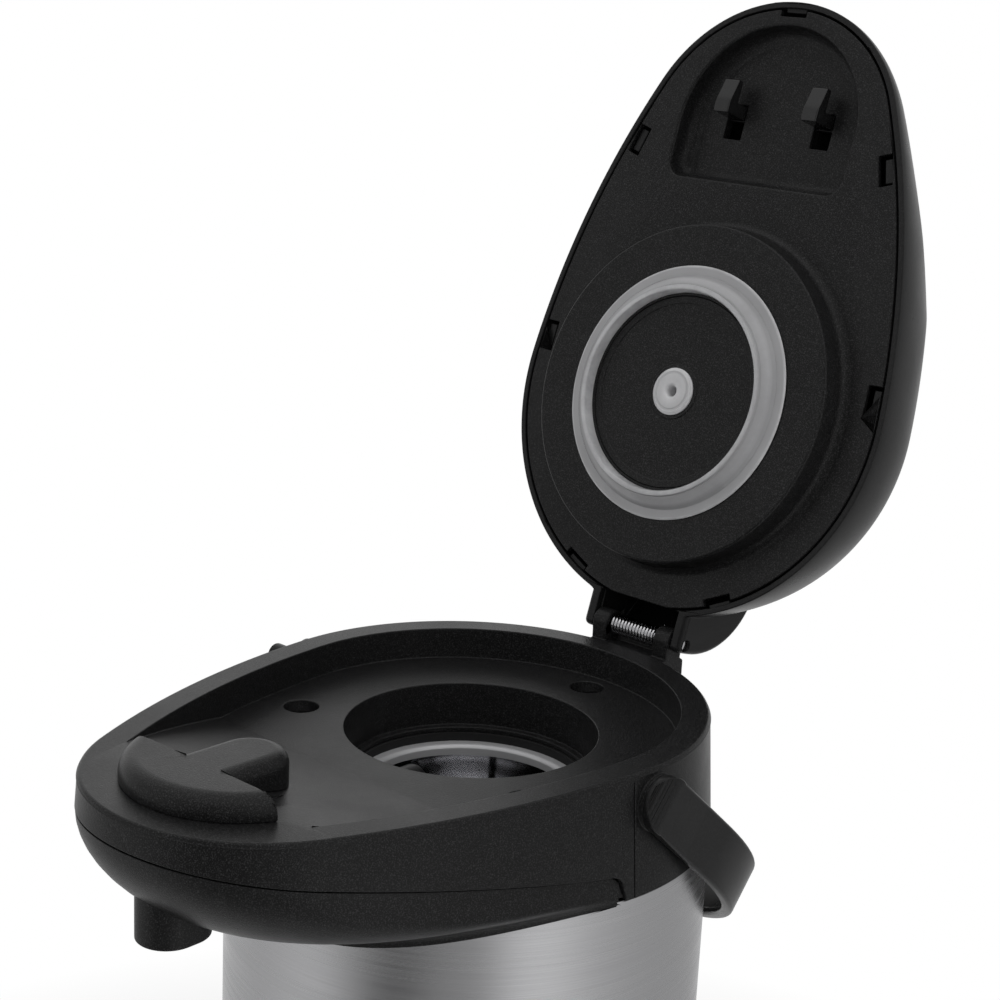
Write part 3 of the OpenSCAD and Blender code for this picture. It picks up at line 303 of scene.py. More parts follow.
def settle(piece):
    """Bakes a piece's modifiers into its mesh."""
    bpy.context.view_layer.update()
    graph = bpy.context.evaluated_depsgraph_get()
    mesh = bpy.data.meshes.new_from_object(piece.evaluated_get(graph))
    old = piece.data
    piece.modifiers.clear()
    piece.data = mesh
    bpy.data.meshes.remove(old)
    return piece


def combine(piece, others, how):
    for other in others:
        mod = piece.modifiers.new("combine", "BOOLEAN")
        mod.operation = how
        mod.solver = "EXACT"
        mod.object = other
        settle(piece)
        bpy.data.objects.remove(other)
    return piece


def cut(piece, *others):
    return combine(piece, others, "DIFFERENCE")


def add(piece, *others):
    return combine(piece, others, "UNION")


def keep_inside(piece, *others):
    return combine(piece, others, "INTERSECT")


def tidy_mesh(piece):
    near = 0.06 * MM
    bm = bmesh.new()
    bm.from_mesh(piece.data)
    bmesh.ops.remove_doubles(bm, verts=bm.verts, dist=near)
    bmesh.ops.dissolve_degenerate(bm, dist=near / 2, edges=bm.edges)
    bm.to_mesh(piece.data)
    bm.free()
    return piece


def smooth(piece, angle=32):
    """Smooth shading in which large flat faces stay flat beside rounded edges."""
    piece.data.shade_smooth()
    piece.data.set_sharp_from_angle(angle=math.radians(angle))
    even = piece.modifiers.new("even", "WEIGHTED_NORMAL")
    even.keep_sharp = True
    return settle(piece)


def soften(piece, width=0.4, steps=2, angle=32):
    """Rounds a piece's sharp edges, as moulding does."""
    tidy_mesh(piece)
    mod = piece.modifiers.new("round", "BEVEL")
    mod.width = width * MM
    mod.segments = steps
    mod.limit_method = "ANGLE"
    mod.angle_limit = math.radians(angle)
    mod.use_clamp_overlap = False
    mod.loop_slide = True
    settle(piece)
    return smooth(piece, angle)


def move(piece, matrix):
    piece.data.transform(matrix)
    piece.data.update()
    return piece


def raise_to_rim(piece):
    return move(piece, Matrix.Translation((0, 0, RIM_Z * MM)))


HINGE_AT = Vector((0, HINGE_Y, HINGE_Z)) * MM
OPEN_LID = (Matrix.Translation(Vector((0, 0, RIM_Z * MM)) + HINGE_AT) @ Matrix.Rotation(-LID_OPEN, 4, "X")
            @ Matrix.Translation(-HINGE_AT))


def open_lid(piece):
    """Takes a piece drawn on the shut lid to where the open lid has it."""
    return move(piece, OPEN_LID)


# The head's outline

FLANK_C = (-(FLANK_R - HEAD_R) * math.sin(FLANK_FROM), (FLANK_R - HEAD_R) * math.cos(FLANK_FROM))


def nose_radius(reach):
    cx, cy = FLANK_C
    return (cx * cx + (cy + reach) ** 2 - FLANK_R ** 2) / (2 * (cy + reach) - 2 * FLANK_R)


def egg(off=0, reach=NOSE_REACH, nose_n=28, flank_n=36, rear_n=56):
    cx, cy = FLANK_C
    rn = nose_radius(reach)
    ny = rn - reach
    meet = math.atan2(-cx, cy - ny)
    half = []
    for k in range(nose_n):
        a = meet * k / nose_n
        half.append(((rn + off) * math.sin(a), ny - (rn + off) * math.cos(a)))
    for k in range(flank_n):
        a = meet + (FLANK_FROM - meet) * k / flank_n
        half.append((cx + (FLANK_R + off) * math.sin(a), cy - (FLANK_R + off) * math.cos(a)))
    for k in range(rear_n + 1):
        a = FLANK_FROM + (math.pi - FLANK_FROM) * k / rear_n
        half.append(((HEAD_R + off) * math.sin(a), -(HEAD_R + off) * math.cos(a)))
    return half + [(-x, y) for x, y in half[-2:0:-1]]


def egg_ring(z, off):
    return [(x, y, z) for x, y in egg(off)]


def circle(r, centre=(0, 0), steps=96):
    return arc(*centre, r, full_turn(steps))


def seam_z(y):
    return -(FRONT_DROP + SEAM_SLOPE * (y + NOSE_REACH))


def step_line(gap=0, low=-COLLAR_DROP):
    """Side view of the seam between the head and the front cover, with a rounded step behind."""
    start = STEP_Y - 6
    points = [(-FAR, seam_z(-FAR) - gap), (start - gap, seam_z(start) - gap)]
    for a in quarter(6, 1):
        points.append((start + 6 * math.sin(a) - gap, seam_z(start) - 5 * (1 - math.cos(a)) - gap))
    points.append((STEP_Y + 1.5 - gap, low))
    return points


# Shader groups: each gives a mask, a value or a normal that varies over the surface


def group_of(name, inputs, outputs):
    tree = bpy.data.node_groups.new(name, "ShaderNodeTree")
    for label, default in inputs:
        socket = tree.interface.new_socket(label, in_out="INPUT", socket_type="NodeSocketFloat")
        socket.default_value = default
    for label, kind in outputs:
        tree.interface.new_socket(label, in_out="OUTPUT", socket_type=kind)
    return tree, tree.nodes.new("NodeGroupInput"), tree.nodes.new("NodeGroupOutput")


def node_of(tree, kind, **values):
    node = tree.nodes.new(kind)
    for key, value in values.items():
        setattr(node, key, value)
    return node


def plug(tree, value, socket):
    """Sets a socket to a number or a tuple, or links another socket to it."""
    if isinstance(value, (int, float, tuple)):
        socket.default_value = value
    else:
        tree.links.new(value, socket)


def feed(tree, node, **values):
    """Plugs values into a node's inputs by name, with underscores for spaces."""
    for key, value in values.items():
        plug(tree, value, node.inputs[key.replace("_", " ")])


def noise(tree, vector, scale, detail=3, roughness=0.5):
    node = node_of(tree, "ShaderNodeTexNoise")
    feed(tree, node, Detail=detail, Roughness=roughness, Scale=scale, Vector=vector)
    return node.outputs["Fac"]


def spread(tree, value, low, high, to_low, to_high):
    node = node_of(tree, "ShaderNodeMapRange")
    feed(tree, node, From_Min=low, From_Max=high, To_Min=to_low, To_Max=to_high, Value=value)
    return node.outputs["Result"]


def arithmetic(tree, how, *amounts):
    node = node_of(tree, "ShaderNodeMath", operation=how)
    for amount, socket in zip(amounts, node.inputs):
        plug(tree, amount, socket)
    return node.outputs["Value"]


def bumped(tree, height, strength, distance):
    node = node_of(tree, "ShaderNodeBump")
    feed(tree, node, Strength=strength, Distance=distance, Height=height)
    return node.outputs["Normal"]


def stretched(tree, place, scale):
    node = node_of(tree, "ShaderNodeMapping")
    feed(tree, node, Scale=scale, Vector=place)
    return node.outputs["Vector"]


def spark_grain_group():
    """Fine moulded grain: a pebbled normal, a mask of bright specks and a slow uneven sheen."""
    tree, inner, outer = group_of(
        "spark_grain", [("Grain Scale", 2600), ("Strength", 0.4)],
        [("Specks", "NodeSocketFloat"), ("Unevenness", "NodeSocketFloat"), ("Normal", "NodeSocketVector")])
    place = node_of(tree, "ShaderNodeTexCoord").outputs["Object"]
    pebbles = noise(tree, place, inner.outputs["Grain Scale"], 2, 0.6)
    specks = spread(tree, noise(tree, place, 2600, 1, 0.4), 0.5, 0.74, 0, 1)
    slow = noise(tree, place, 28, 4, 0.6)
    normal = bumped(tree, pebbles, inner.outputs["Strength"], 0.00012)
    feed(tree, outer, Specks=specks, Unevenness=slow, Normal=normal)
    return tree


def wear_and_highlight_group():
    """Edge and smear masks: edges rubbed bright, which is wear on plastic and a painted highlight on
    silicone, and soft smears of dust.
    """
    tree, inner, outer = group_of(
        "edge_wear_and_highlight", [("Edge Reach", 0.5), ("Smear", 0.5)],
        [("Edges", "NodeSocketFloat"), ("Smears", "NodeSocketFloat")])
    place = node_of(tree, "ShaderNodeTexCoord").outputs["Object"]
    point = node_of(tree, "ShaderNodeNewGeometry").outputs["Pointiness"]
    raised = spread(tree, point, 0.505, 0.56, 0, inner.outputs["Edge Reach"])
    broken = spread(tree, noise(tree, place, 90, 4, 0.7), 0.35, 0.7, 0.35, 1)
    smear = spread(tree, noise(tree, place, 14, 6, 0.65), 0.4, 0.75, 0, inner.outputs["Smear"])
    feed(tree, outer, Edges=arithmetic(tree, "MULTIPLY", raised, broken), Smears=smear)
    return tree


def brush_lines_group():
    """Brushing that runs round an upright axis: fine level lines in tone, gloss and normal."""
    tree, inner, outer = group_of(
        "brush_lines", [("Fineness", 1), ("Strength", 0.3)],
        [("Lines", "NodeSocketFloat"), ("Broad", "NodeSocketFloat"), ("Normal", "NodeSocketVector")])
    place = node_of(tree, "ShaderNodeTexCoord").outputs["Object"]
    fine = noise(tree, stretched(tree, place, (14, 14, 5200)), inner.outputs["Fineness"], 4, 0.7)
    broad = noise(tree, stretched(tree, place, (5, 5, 420)), inner.outputs["Fineness"], 3, 0.6)
    both = arithmetic(tree, "ADD", arithmetic(tree, "MULTIPLY", fine, 0.7),
                      arithmetic(tree, "MULTIPLY", broad, 0.3))
    feed(tree, outer, Lines=fine, Broad=broad, Normal=bumped(tree, both, inner.outputs["Strength"], 0.00004))
    return tree


SPARK_GRAIN = spark_grain_group()
WEAR_AND_HIGHLIGHT = wear_and_highlight_group()
BRUSH_LINES = brush_lines_group()


def material_of(name, metallic=0, ior=1.5, **fixed):
    made = bpy.data.materials.new(name)
    made.use_nodes = True
    tree = made.node_tree
    shader = tree.nodes["Principled BSDF"]
    feed(tree, shader, Metallic=metallic, IOR=ior, **fixed)
    return made, tree, shader


def placed(tree, group, **values):
    node = node_of(tree, "ShaderNodeGroup", node_tree=group)
    feed(tree, node, **values)
    return node.outputs


def mixed(tree, mask, under, over):
    """A colour between two, by a mask from 0 to 1."""
    node = node_of(tree, "ShaderNodeMix", data_type="RGBA")
    feed(tree, node, Factor=mask, A=under, B=over)
    return node.outputs["Result"]


def mixed_shader(tree, mask, under, over):
    node = node_of(tree, "ShaderNodeMixShader")
    for value, socket in zip((mask, under, over), node.inputs):
        tree.links.new(value, socket)
    return node.outputs["Shader"]


def grey(value):
    return (value, value, value * 1.02, 1)


def moulded_plastic(name, dark, light, rough_low, rough_high, grain_scale, strength,
                    specks=0.05, smear=0.5, gloss=0.25, worn=0.015):
    """Black plastic: base tone, brighter specks of the texture, rubbed edges and an uneven sheen."""
    made, tree, shader = material_of(name, ior=1.5, Specular_IOR_Level=gloss)
    grain = placed(tree, SPARK_GRAIN, Grain_Scale=grain_scale, Strength=strength)
    wear_and_highlight_masks = placed(tree, WEAR_AND_HIGHLIGHT, Edge_Reach=0.5, Smear=smear)
    base = mixed(tree, grain["Unevenness"], grey(dark), grey(light))
    speckled = mixed(tree, arithmetic(tree, "MULTIPLY", grain["Specks"], 0.5), base, grey(light + specks))
    rubbed = mixed(tree, arithmetic(tree, "MULTIPLY", wear_and_highlight_masks["Edges"], 0.5), speckled, grey(light + worn))
    sheen = arithmetic(tree, "SUBTRACT", spread(tree, grain["Unevenness"], 0.3, 0.7, rough_high, rough_low),
                       arithmetic(tree, "MULTIPLY", wear_and_highlight_masks["Smears"], 0.06))
    feed(tree, shader, Base_Color=rubbed, Roughness=sheen, Normal=grain["Normal"])
    return made


def brushed_body():
    made, tree, shader = material_of("brushed_body", metallic=1, Anisotropic=0.75)
    lines = placed(tree, BRUSH_LINES, Fineness=1, Strength=0.35)
    base = mixed(tree, lines["Lines"], grey(0.46), grey(0.70))
    uneven = spread(tree, lines["Broad"], 0.3, 0.7, 0.22, 0.32)
    tangent = node_of(tree, "ShaderNodeTangent", direction_type="RADIAL", axis="Z")
    feed(tree, shader, Base_Color=base, Roughness=uneven, Normal=lines["Normal"],
         Tangent=tangent.outputs["Tangent"])
    return made


def bright_metal(name, dark, light, rough_low, rough_high, metallic=1):
    made, tree, shader = material_of(name, metallic=metallic)
    wear_and_highlight_masks = placed(tree, WEAR_AND_HIGHLIGHT, Edge_Reach=0.4, Smear=0.5)
    feed(tree, shader, Base_Color=mixed(tree, wear_and_highlight_masks["Smears"], grey(light), grey(dark)),
         Roughness=spread(tree, wear_and_highlight_masks["Smears"], 0, 0.5, rough_low, rough_high))
    return made


def soft_silicone(name, dark, light, clear):
    made, tree, shader = material_of(
        name, ior=1.41, Subsurface_Weight=0.15, Subsurface_Scale=0.003, Subsurface_Radius=(1, 1, 1),
        Transmission_Weight=clear)
    grain = placed(tree, SPARK_GRAIN, Grain_Scale=500, Strength=0.03)
    wear_and_highlight_masks = placed(tree, WEAR_AND_HIGHLIGHT, Edge_Reach=0.7, Smear=0.3)
    base = mixed(tree, grain["Unevenness"], grey(dark), grey(light))
    # Painted highlight: the silicone's convex edges are lightened in its base colour, standing in for light
    # catching the thin rims.
    feed(tree, shader, Base_Color=mixed(tree, wear_and_highlight_masks["Edges"], base, grey(light * 1.8)),
         Roughness=spread(tree, wear_and_highlight_masks["Smears"], 0, 0.6, 0.1, 0.22), Normal=grain["Normal"])
    return made


def dull_rubber():
    made, tree, shader = material_of("dark_rubber", ior=1.45, Specular_IOR_Level=0.25)
    grain = placed(tree, SPARK_GRAIN, Grain_Scale=1200, Strength=0.3)
    feed(tree, shader, Base_Color=mixed(tree, grain["Unevenness"], grey(0.008), grey(0.018)),
         Roughness=spread(tree, grain["Unevenness"], 0.3, 0.7, 0.62, 0.8), Normal=grain["Normal"])
    return made


DECK_PLASTIC = moulded_plastic("deck_plastic", 0.004, 0.007, 0.31, 0.39, 2000, 0.8, gloss=0.18)
LID_PLASTIC = moulded_plastic("lid_plastic", 0.005, 0.008, 0.28, 0.36, 3000, 0.25,
                              specks=0.02, smear=0.4, gloss=0.2)
GLOSS_PLASTIC = moulded_plastic("gloss_plastic", 0.006, 0.009, 0.12, 0.22, 900, 0.05,
                                specks=0, smear=0.6, gloss=0.5)
WHITE_PLASTIC = moulded_plastic("white_plastic", 0.62, 0.7, 0.35, 0.5, 900, 0.1,
                                specks=0, smear=0.4, gloss=0.5)
BODY_STEEL = brushed_body()
MIRROR_STEEL = bright_metal("mirror_steel", 0.55, 0.78, 0.06, 0.16)
SATIN_STEEL = bright_metal("satin_steel", 0.36, 0.46, 0.38, 0.5, metallic=0.45)
CLEAR_SILICONE = soft_silicone("clear_silicone", 0.34, 0.46, 0.35)
PALE_SILICONE = soft_silicone("pale_silicone", 0.38, 0.5, 0.15)
RUBBER = dull_rubber()

FINISH = {
    "black_plastic": DECK_PLASTIC,
    "lid_plastic": LID_PLASTIC,
    "gloss_black": GLOSS_PLASTIC,
    "brushed_steel": BODY_STEEL,
    "mirror_steel": MIRROR_STEEL,
    "silicone": PALE_SILICONE,
    "dark_rubber": RUBBER,
    "white_plastic": WHITE_PLASTIC,
}

for part in frame["record"]["subparts"]:
    node = frame["nodes"][part["node"]]
    node.data.materials.clear()
    node.data.materials.append(FINISH[part["material_slot"]])


def hand_over(piece, body, slot, *nodes, material=None):
    """Gives a finished piece its material and its body, and hides the solids it stands for."""
    piece.data.materials.clear()
    piece.data.materials.append(material or FINISH[slot])
    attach(piece, body)
    if nodes:
        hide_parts(*nodes)
    return piece


def on_pot(piece, slot, node):
    return hand_over(raise_to_rim(piece), "pot", slot, node)


def on_lid(piece, body, slot, *nodes, material=None):
    return hand_over(open_lid(piece), body, slot, *nodes, material=material)


# Head


def screw_spots():
    return [(SCREW_RING_R * math.cos(math.radians(a)), SCREW_RING_R * math.sin(math.radians(a)))
            for a in (90, 210, 330)]


def hook_span(side, margin):
    """Left and right edge of a room for one of the two hooks."""
    return side * HOOK_X - HOOK_W / 2 - margin, side * HOOK_X + HOOK_W / 2 + margin


def make_head():
    edge = 1.2
    rings = [egg_ring(-COLLAR_DROP, COLLAR_FLARE), egg_ring(-edge - 0.1, 0.1)]
    for a in quarter(5):
        rings.append(egg_ring(-edge + edge * math.sin(a), -edge + edge * math.cos(a)))
    head = loft("head_moulding", rings)
    hollow = prism("hollow", egg(-HEAD_WALL), -COLLAR_DROP - 1, 0)
    keep_inside(hollow, side_prism("under_deck", [
        (-FAR, -FAR), (-FAR, -DECK_T), (RAMP_TOP_Y, -DECK_T), (FOLD_Y, -DECK_DROP - DECK_T),
        (FAR, -DECK_DROP - DECK_T), (FAR, -FAR)], FAR))
    cut(head, hollow)
    above_seam = [(-FAR, FAR), *step_line(), (FAR, -COLLAR_DROP), (FAR, FAR)]
    keep_inside(head, side_prism("above_seam", above_seam, FAR))
    throat_r, throat_low, joined = MOUTH_R + THROAT_WALL, -LEDGE_DROP - LEDGE_T, -DECK_DROP - 0.6
    add(head, turned("throat", [(0, throat_low), (throat_r, throat_low), (throat_r, joined), (0, joined)]))
    boss_low, seat = -COLLAR_DROP - BOSS_LEN, -DECK_DROP - WELL_DEPTH
    for x, y in screw_spots():
        add(head, turned("boss", [
            (0, boss_low), (BOSS_R, boss_low), (BOSS_R, joined), (0, joined)], (x, y), 64))
    recess = prism("recess", egg(-RIM_W), -DECK_DROP, 2)
    keep_inside(recess, side_prism("ramp", [
        (RAMP_TOP_Y, 0), (FOLD_Y, -DECK_DROP), (FAR, -DECK_DROP), (FAR, 3), (RAMP_TOP_Y, 3)], FAR))
    cut(head, recess, turned("mouth", [
        (0, -FAR), (LEDGE_R, -FAR), (LEDGE_R, -LEDGE_DROP), (MOUTH_R, -LEDGE_DROP), (MOUTH_R, 3), (0, 3)]))
    for x, y in screw_spots():
        cut(head, turned("well", [
            (0, -FAR), (SCREW_HOLE_R, -FAR), (SCREW_HOLE_R, seat), (WELL_R, seat), (WELL_R, 3), (0, 3)],
            (x, y), 64))
    cut(head, rod("port", PIPE_ROOM, (0, -30, PORT_Z), (0, -60, PORT_Z), 48))
    for side in (-1, 1):
        for r, face in PIVOT_RINGS:
            add(head, pivot_rod("pivot_ring", r, side, 77, face, 96))
        left, right = hook_span(side, POCKET_GAP)
        cut(head, pivot_rod("socket", PIVOT_R, side, 74, 100),
            block("pocket", (left, WING_Y - HOOK_CATCH - POCKET_GAP, -HOOK_DROP - 1.2),
                  (right, SLOT_Y + SLOT_LEN + POCKET_GAP, FAR)))
        # Joint line down the side wall: a groove that follows the leaning wall
        groove = side_prism("joint_line", [
            (JOINT_Y, -3), (JOINT_Y + 0.35, -3), (JOINT_Y + 2.15, -FAR), (JOINT_Y + 1.8, -FAR)], 5)
        lean = Matrix.Rotation(side * WALL_LEAN, 4, "Y")
        cut(head, move(groove, Matrix.Translation((side * JOINT_X * MM, 0, 0)) @ lean))
    return on_pot(soften(head, 0.45, 3, 30), "black_plastic", "head")


def edge_z(y):
    """Height of the front cover's lower edge: it climbs from the front and ends level."""
    level = -COLLAR_DROP - COVER_LAP
    left = 1 - min(1, (BODY_R + y) / COVER_CLIMB)
    return level - (COVER_DROP + level) * left * left


def make_front_cover():
    layers = 26

    def bowl(name, inset, lift):
        rings = []
        for k in range(layers + 1):
            t = 1 - k / layers
            reach = BODY_R + (NOSE_REACH - BODY_R) * (1 - t ** BOWL_BELLY) ** BOWL_FALL
            off = COLLAR_FLARE * (FRONT_DROP + BOWL_SIDE * t) / COLLAR_DROP - inset
            rings.append([(x, y, (1 - t) * seam_z(y) + t * edge_z(y) + lift) for x, y in egg(off, reach)])
        return loft(name, rings, strips=True)

    cover = bowl("front_cover_bowl", 0, 0)
    cut(cover, bowl("inside", COVER_T, COVER_T))
    below_seam = [(-FAR, -FAR), *step_line(0.35), (STEP_Y + 1.5, -FAR)]
    keep_inside(cover, side_prism("below_seam", below_seam, FAR))
    shoulder = -COLLAR_DROP + COVER_T - COVER_LAP
    room_r, upper_r = BODY_R + SEAT_FIT, HEAD_R - HEAD_WALL + 0.2
    cut(cover, turned("body_room", [
        (0, -FAR), (room_r, -FAR), (room_r, shoulder), (upper_r, shoulder), (upper_r, 3), (0, 3)]))
    cut(cover, prism("nozzle_room", oval(0), -FAR, 0))
    return on_pot(soften(cover, 0.3, 2, 30), "black_plastic", "front_cover")


def oval(inset, steps=32):
    r = NOZZLE_W / 2 - inset
    half = (NOZZLE_LEN - NOZZLE_W) / 2
    return (arc(0, NOZZLE_Y + half, r, half_turn(steps))
            + arc(0, NOZZLE_Y - half, r, half_turn(steps, math.pi)))


def make_nozzle():
    nozzle = prism("nozzle", oval(0.05), -NOZZLE_DROP, NOZZLE_TOP)
    cut(nozzle, prism("mouth", oval(1.8), -NOZZLE_DROP - 1, NOZZLE_TOP - 1.8),
        rod("pipe_room", PIPE_ROOM, (0, NOZZLE_Y, -FAR), (0, NOZZLE_Y, 0), 48))
    return on_pot(soften(nozzle, 0.5, 3), "black_plastic", "spout_nozzle")


def rounded_top(r, low, high, round_r, steps=8):
    return [(0, low), (r, low), *arc(r - round_r, high - round_r, round_r, quarter(steps)), (0, high)]


def stem_solid(low):
    """The stem's long rounded form, from behind the wings to its round end."""
    rings = []
    for radius, z in rounded_top(STEM_W, low, BLOCK_H, STEM_ROUND)[1:-1]:
        outline = (arc(0, STEM_Y - STEM_W, radius, half_turn(24))
                   + arc(0, WING_Y - STEM_W / 2, radius, half_turn(24, math.pi)))
        rings.append([(x, y, z) for x, y in outline])
    return loft("stem", rings)


def make_spout_block():
    low = -DECK_DROP
    wings = turned("spout_block_form", rounded_top(BLOCK_R, low, BLOCK_H, BLOCK_ROUND), (0, BLOCK_Y), 160)
    keep_inside(wings, block("front_half", (-FAR, -FAR, low - 1), (FAR, WING_Y, FAR)))
    add(wings, stem_solid(low))
    keep_inside(wings, side_prism("on_deck", [
        (-FAR, 0), (RAMP_TOP_Y, 0), (FOLD_Y, -DECK_DROP), (FOLD_Y, FAR), (-FAR, FAR)], FAR))
    for side in (-1, 1):
        left, right = hook_span(side, POCKET_GAP)
        cut(wings, block("catch", (left, WING_Y - 8, -2), (right, WING_Y + 1, CATCH_Z + 0.4)))
    return on_pot(soften(wings, 0.5, 3, 30), "black_plastic", "spout_block")


def make_deck_screws():
    pieces = []
    for x, y in screw_spots():
        z = -DECK_DROP - WELL_DEPTH
        screw = turned("screw", [
            (0, z - SCREW_LEN), (SCREW_R, z - SCREW_LEN), (SCREW_R, z), (4.4, z), (4.4, z + 1.2),
            (3.9, z + 2.1), (2.6, z + 2.6), (0, z + 2.6)], (x, y), 48)
        cut(screw, block("slot_a", (x - 2.3, y - 0.45, z + 1), (x + 2.3, y + 0.45, z + 4)),
            block("slot_b", (x - 0.45, y - 2.3, z + 1), (x + 0.45, y + 2.3, z + 4)))
        pieces.append(screw)
    joined = add(*pieces)
    joined.name = "deck_screw_set"
    return on_pot(soften(joined, 0.12, 1), "mirror_steel", "deck_screws")


# Body and flask


def make_body():
    base = 23.1
    top = RIM_Z - COLLAR_DROP
    shell = turned("body_tube", [
        (BODY_R - SHELL_T, base), (BODY_R - 0.3, base), (BODY_R, base + 0.3), (BODY_R, top - 0.3),
        (BODY_R - 0.3, top), (BODY_R - SHELL_T, top)], steps=256)
    smooth(shell)
    return hand_over(shell, "pot", "brushed_steel", "body_shell")


def make_flask():
    """The bottle's neck and lip are polished, and a satin band runs round the lip."""
    floor_z, t = 24.1, 1
    neck, side, lip_r = 35.5, 70, 42.5
    lip_z = RIM_Z - LEDGE_DROP - LEDGE_T - 3 - 2
    band_z = lip_z - 1.7
    inner = [(neck, lip_z + 0.6), (neck, band_z), (neck, lip_z - 22)]

    def shoulder_r(k):
        return (side - neck) * (1 - math.cos(math.pi * k / 16)) / 2

    for k in range(1, 17):
        inner.append((neck + shoulder_r(k), lip_z - 22 - 42 * k / 16))
    for a in quarter(8, 1):
        inner.append((side - 13 + 13 * math.cos(a), floor_z + 14 - 13 * math.sin(a)))
    inner.append((0, floor_z + t))
    outer = [(0, floor_z)]
    for a in reversed(quarter(8, 1)):
        outer.append((side + t - 14 + 14 * math.cos(a), floor_z + 14 - 14 * math.sin(a)))
    for k in range(16, 0, -1):
        outer.append((neck + t + shoulder_r(k), lip_z - 21.5 - 42 * k / 16))
    outer += [(neck + t, lip_z - 21.5), (neck + t, lip_z), (lip_r, lip_z), (lip_r, lip_z + 1.6),
              (lip_r - 0.4, lip_z + 2)]
    lip = [(37.4, lip_z + 2), (36.6, lip_z + 1.8), (36, lip_z + 1.4), (35.65, lip_z + 0.9)]
    flask = turned("flask_bottle", inner + outer + lip, steps=256)
    smooth(flask, 40)
    hand_over(flask, "pot", "mirror_steel", "flask_inner")
    flask.data.materials.append(SATIN_STEEL)
    for face in flask.data.polygons:
        if face.center.z > band_z * MM:
            face.material_index = 1
    return flask


# Hinge

COIL_LEN = 2 * (BRACKET_W - KNUCKLE_T) - WIRE_D - 1


def to_hinge(piece):
    return move(piece, Matrix.Translation((0, HINGE_Y * MM, (RIM_Z + HINGE_Z) * MM)))


def make_bracket():
    top, back, low = -1.6, HINGE_Y + 5.6, -34
    bracket = side_prism("hinge_block", [
        (HEAD_R - 5, top), (back - 3, top), (back, top - 2), (back, -16), (HEAD_R + 3, low),
        (HEAD_R - 5, low)], BRACKET_W)
    for side in (-1, 1):
        middle = side * (BRACKET_W - KNUCKLE_T / 2)
        add(bracket, side_prism("knuckle_foot", [
            (HINGE_Y - KNUCKLE_R, top - 1), (HINGE_Y - KNUCKLE_R, HINGE_Z), (HINGE_Y + KNUCKLE_R, HINGE_Z),
            (HINGE_Y + KNUCKLE_R - 1, top - 1)], KNUCKLE_T / 2 - 0.01, middle))
        add(bracket, hinge_rod("knuckle", KNUCKLE_R, middle - KNUCKLE_T / 2, middle + KNUCKLE_T / 2))
    wall = side_prism("spring_wall", [
        (HINGE_Y, top - 1), (HINGE_Y, HINGE_Z - COIL_R), (HINGE_Y + KNUCKLE_R, HINGE_Z),
        (HINGE_Y + KNUCKLE_R - 1, top - 1)], BRACKET_W - KNUCKLE_T + 0.5)
    cut(wall, hinge_rod("coil_room", COIL_R + WIRE_D / 2 + 0.3, -BRACKET_W, BRACKET_W),
        block("leg_room", (-COIL_LEN / 2 - WIRE_D, HINGE_Y, top), (-COIL_LEN / 2 + WIRE_D, HINGE_Y + 9, 9)))
    add(bracket, wall)
    cone = turned("collar_room", [
        (0, -COLLAR_DROP), (HEAD_R + COLLAR_FLARE + SEAT_FIT, -COLLAR_DROP), (HEAD_R + SEAT_FIT, 0.01),
        (0, 0.01)], steps=256)
    cut(bracket, cone, hinge_rod("pin_room", PIN_R, -60, 60))
    for x in (-10, 10):
        cut(bracket, rod("screw_room", 3.4, (x, back - 4, -20), (x, back + 16, -20), 40))
    return on_pot(soften(bracket, 0.5, 3, 30), "black_plastic", "hinge_bracket")


def make_pin():
    half = EAR_OUT - PIN_IN
    profile = [(PIN_R - 0.5 + 0.5 * math.sin(a), -half + 0.5 - 0.5 * math.cos(a)) for a in quarter(4)]
    mirrored = [(r, -z) for r, z in reversed(profile)]
    pin = turned("hinge_axle", [(0, -half), *profile, *mirrored, (0, half)], steps=48)
    move(pin, Matrix.Rotation(math.pi / 2, 4, "Y"))
    to_hinge(pin)
    smooth(pin)
    return hand_over(pin, "pot", "mirror_steel", "hinge_pin")


def wound_wire(name, points, wire_r, sides=10):
    """One unbroken wire that follows its points, with closed ends."""
    path = [Vector(p) for p in points]
    rings = []
    side = None
    for k, at in enumerate(path):
        along = (path[min(k + 1, len(path) - 1)] - path[max(k - 1, 0)]).normalized()
        if side is None:
            side = along.orthogonal().normalized()
        side = (side - along * side.dot(along)).normalized()
        up = along.cross(side)
        rings.append([at + wire_r * (math.cos(a) * side + math.sin(a) * up) for a in full_turn(sides)])
    return smooth(loft(name, rings), 50)


def make_hinge_spring():
    per_coil, leg = 24, 4.2
    start = -COIL_LEN / 2
    points = [(start, COIL_R, -leg), (start, COIL_R, -leg + WIRE_D), (start, COIL_R, -WIRE_D)]
    for k in range(per_coil * COILS + 1):
        a = 2 * math.pi * k / per_coil
        along = start + COIL_LEN * k / (per_coil * COILS)
        points.append((along, COIL_R * math.cos(a), COIL_R * math.sin(a)))
    points += [(-start, COIL_R, WIRE_D), (-start, COIL_R, leg - WIRE_D), (-start, COIL_R, leg)]
    spring = wound_wire("hinge_coil", points, WIRE_D / 2)
    to_hinge(spring)
    return hand_over(spring, "pot", "mirror_steel", "hinge_spring")


# Handle


def bail_path():
    """Middle line of the strap, in the handle's own plane: across, and out from the pivots."""
    reach = BAIL_X - BAIL_T / 2
    straight = (0, BAIL_W - 0.1, BAIL_W)
    points = [(reach, out, 1, 0) for out in straight]
    for a in half_turn(64):
        points.append((reach * math.cos(a), ARM_LEN + reach * math.sin(a), math.cos(a), math.sin(a)))
    return points + [(-reach, out, -1, 0) for out in reversed(straight)]


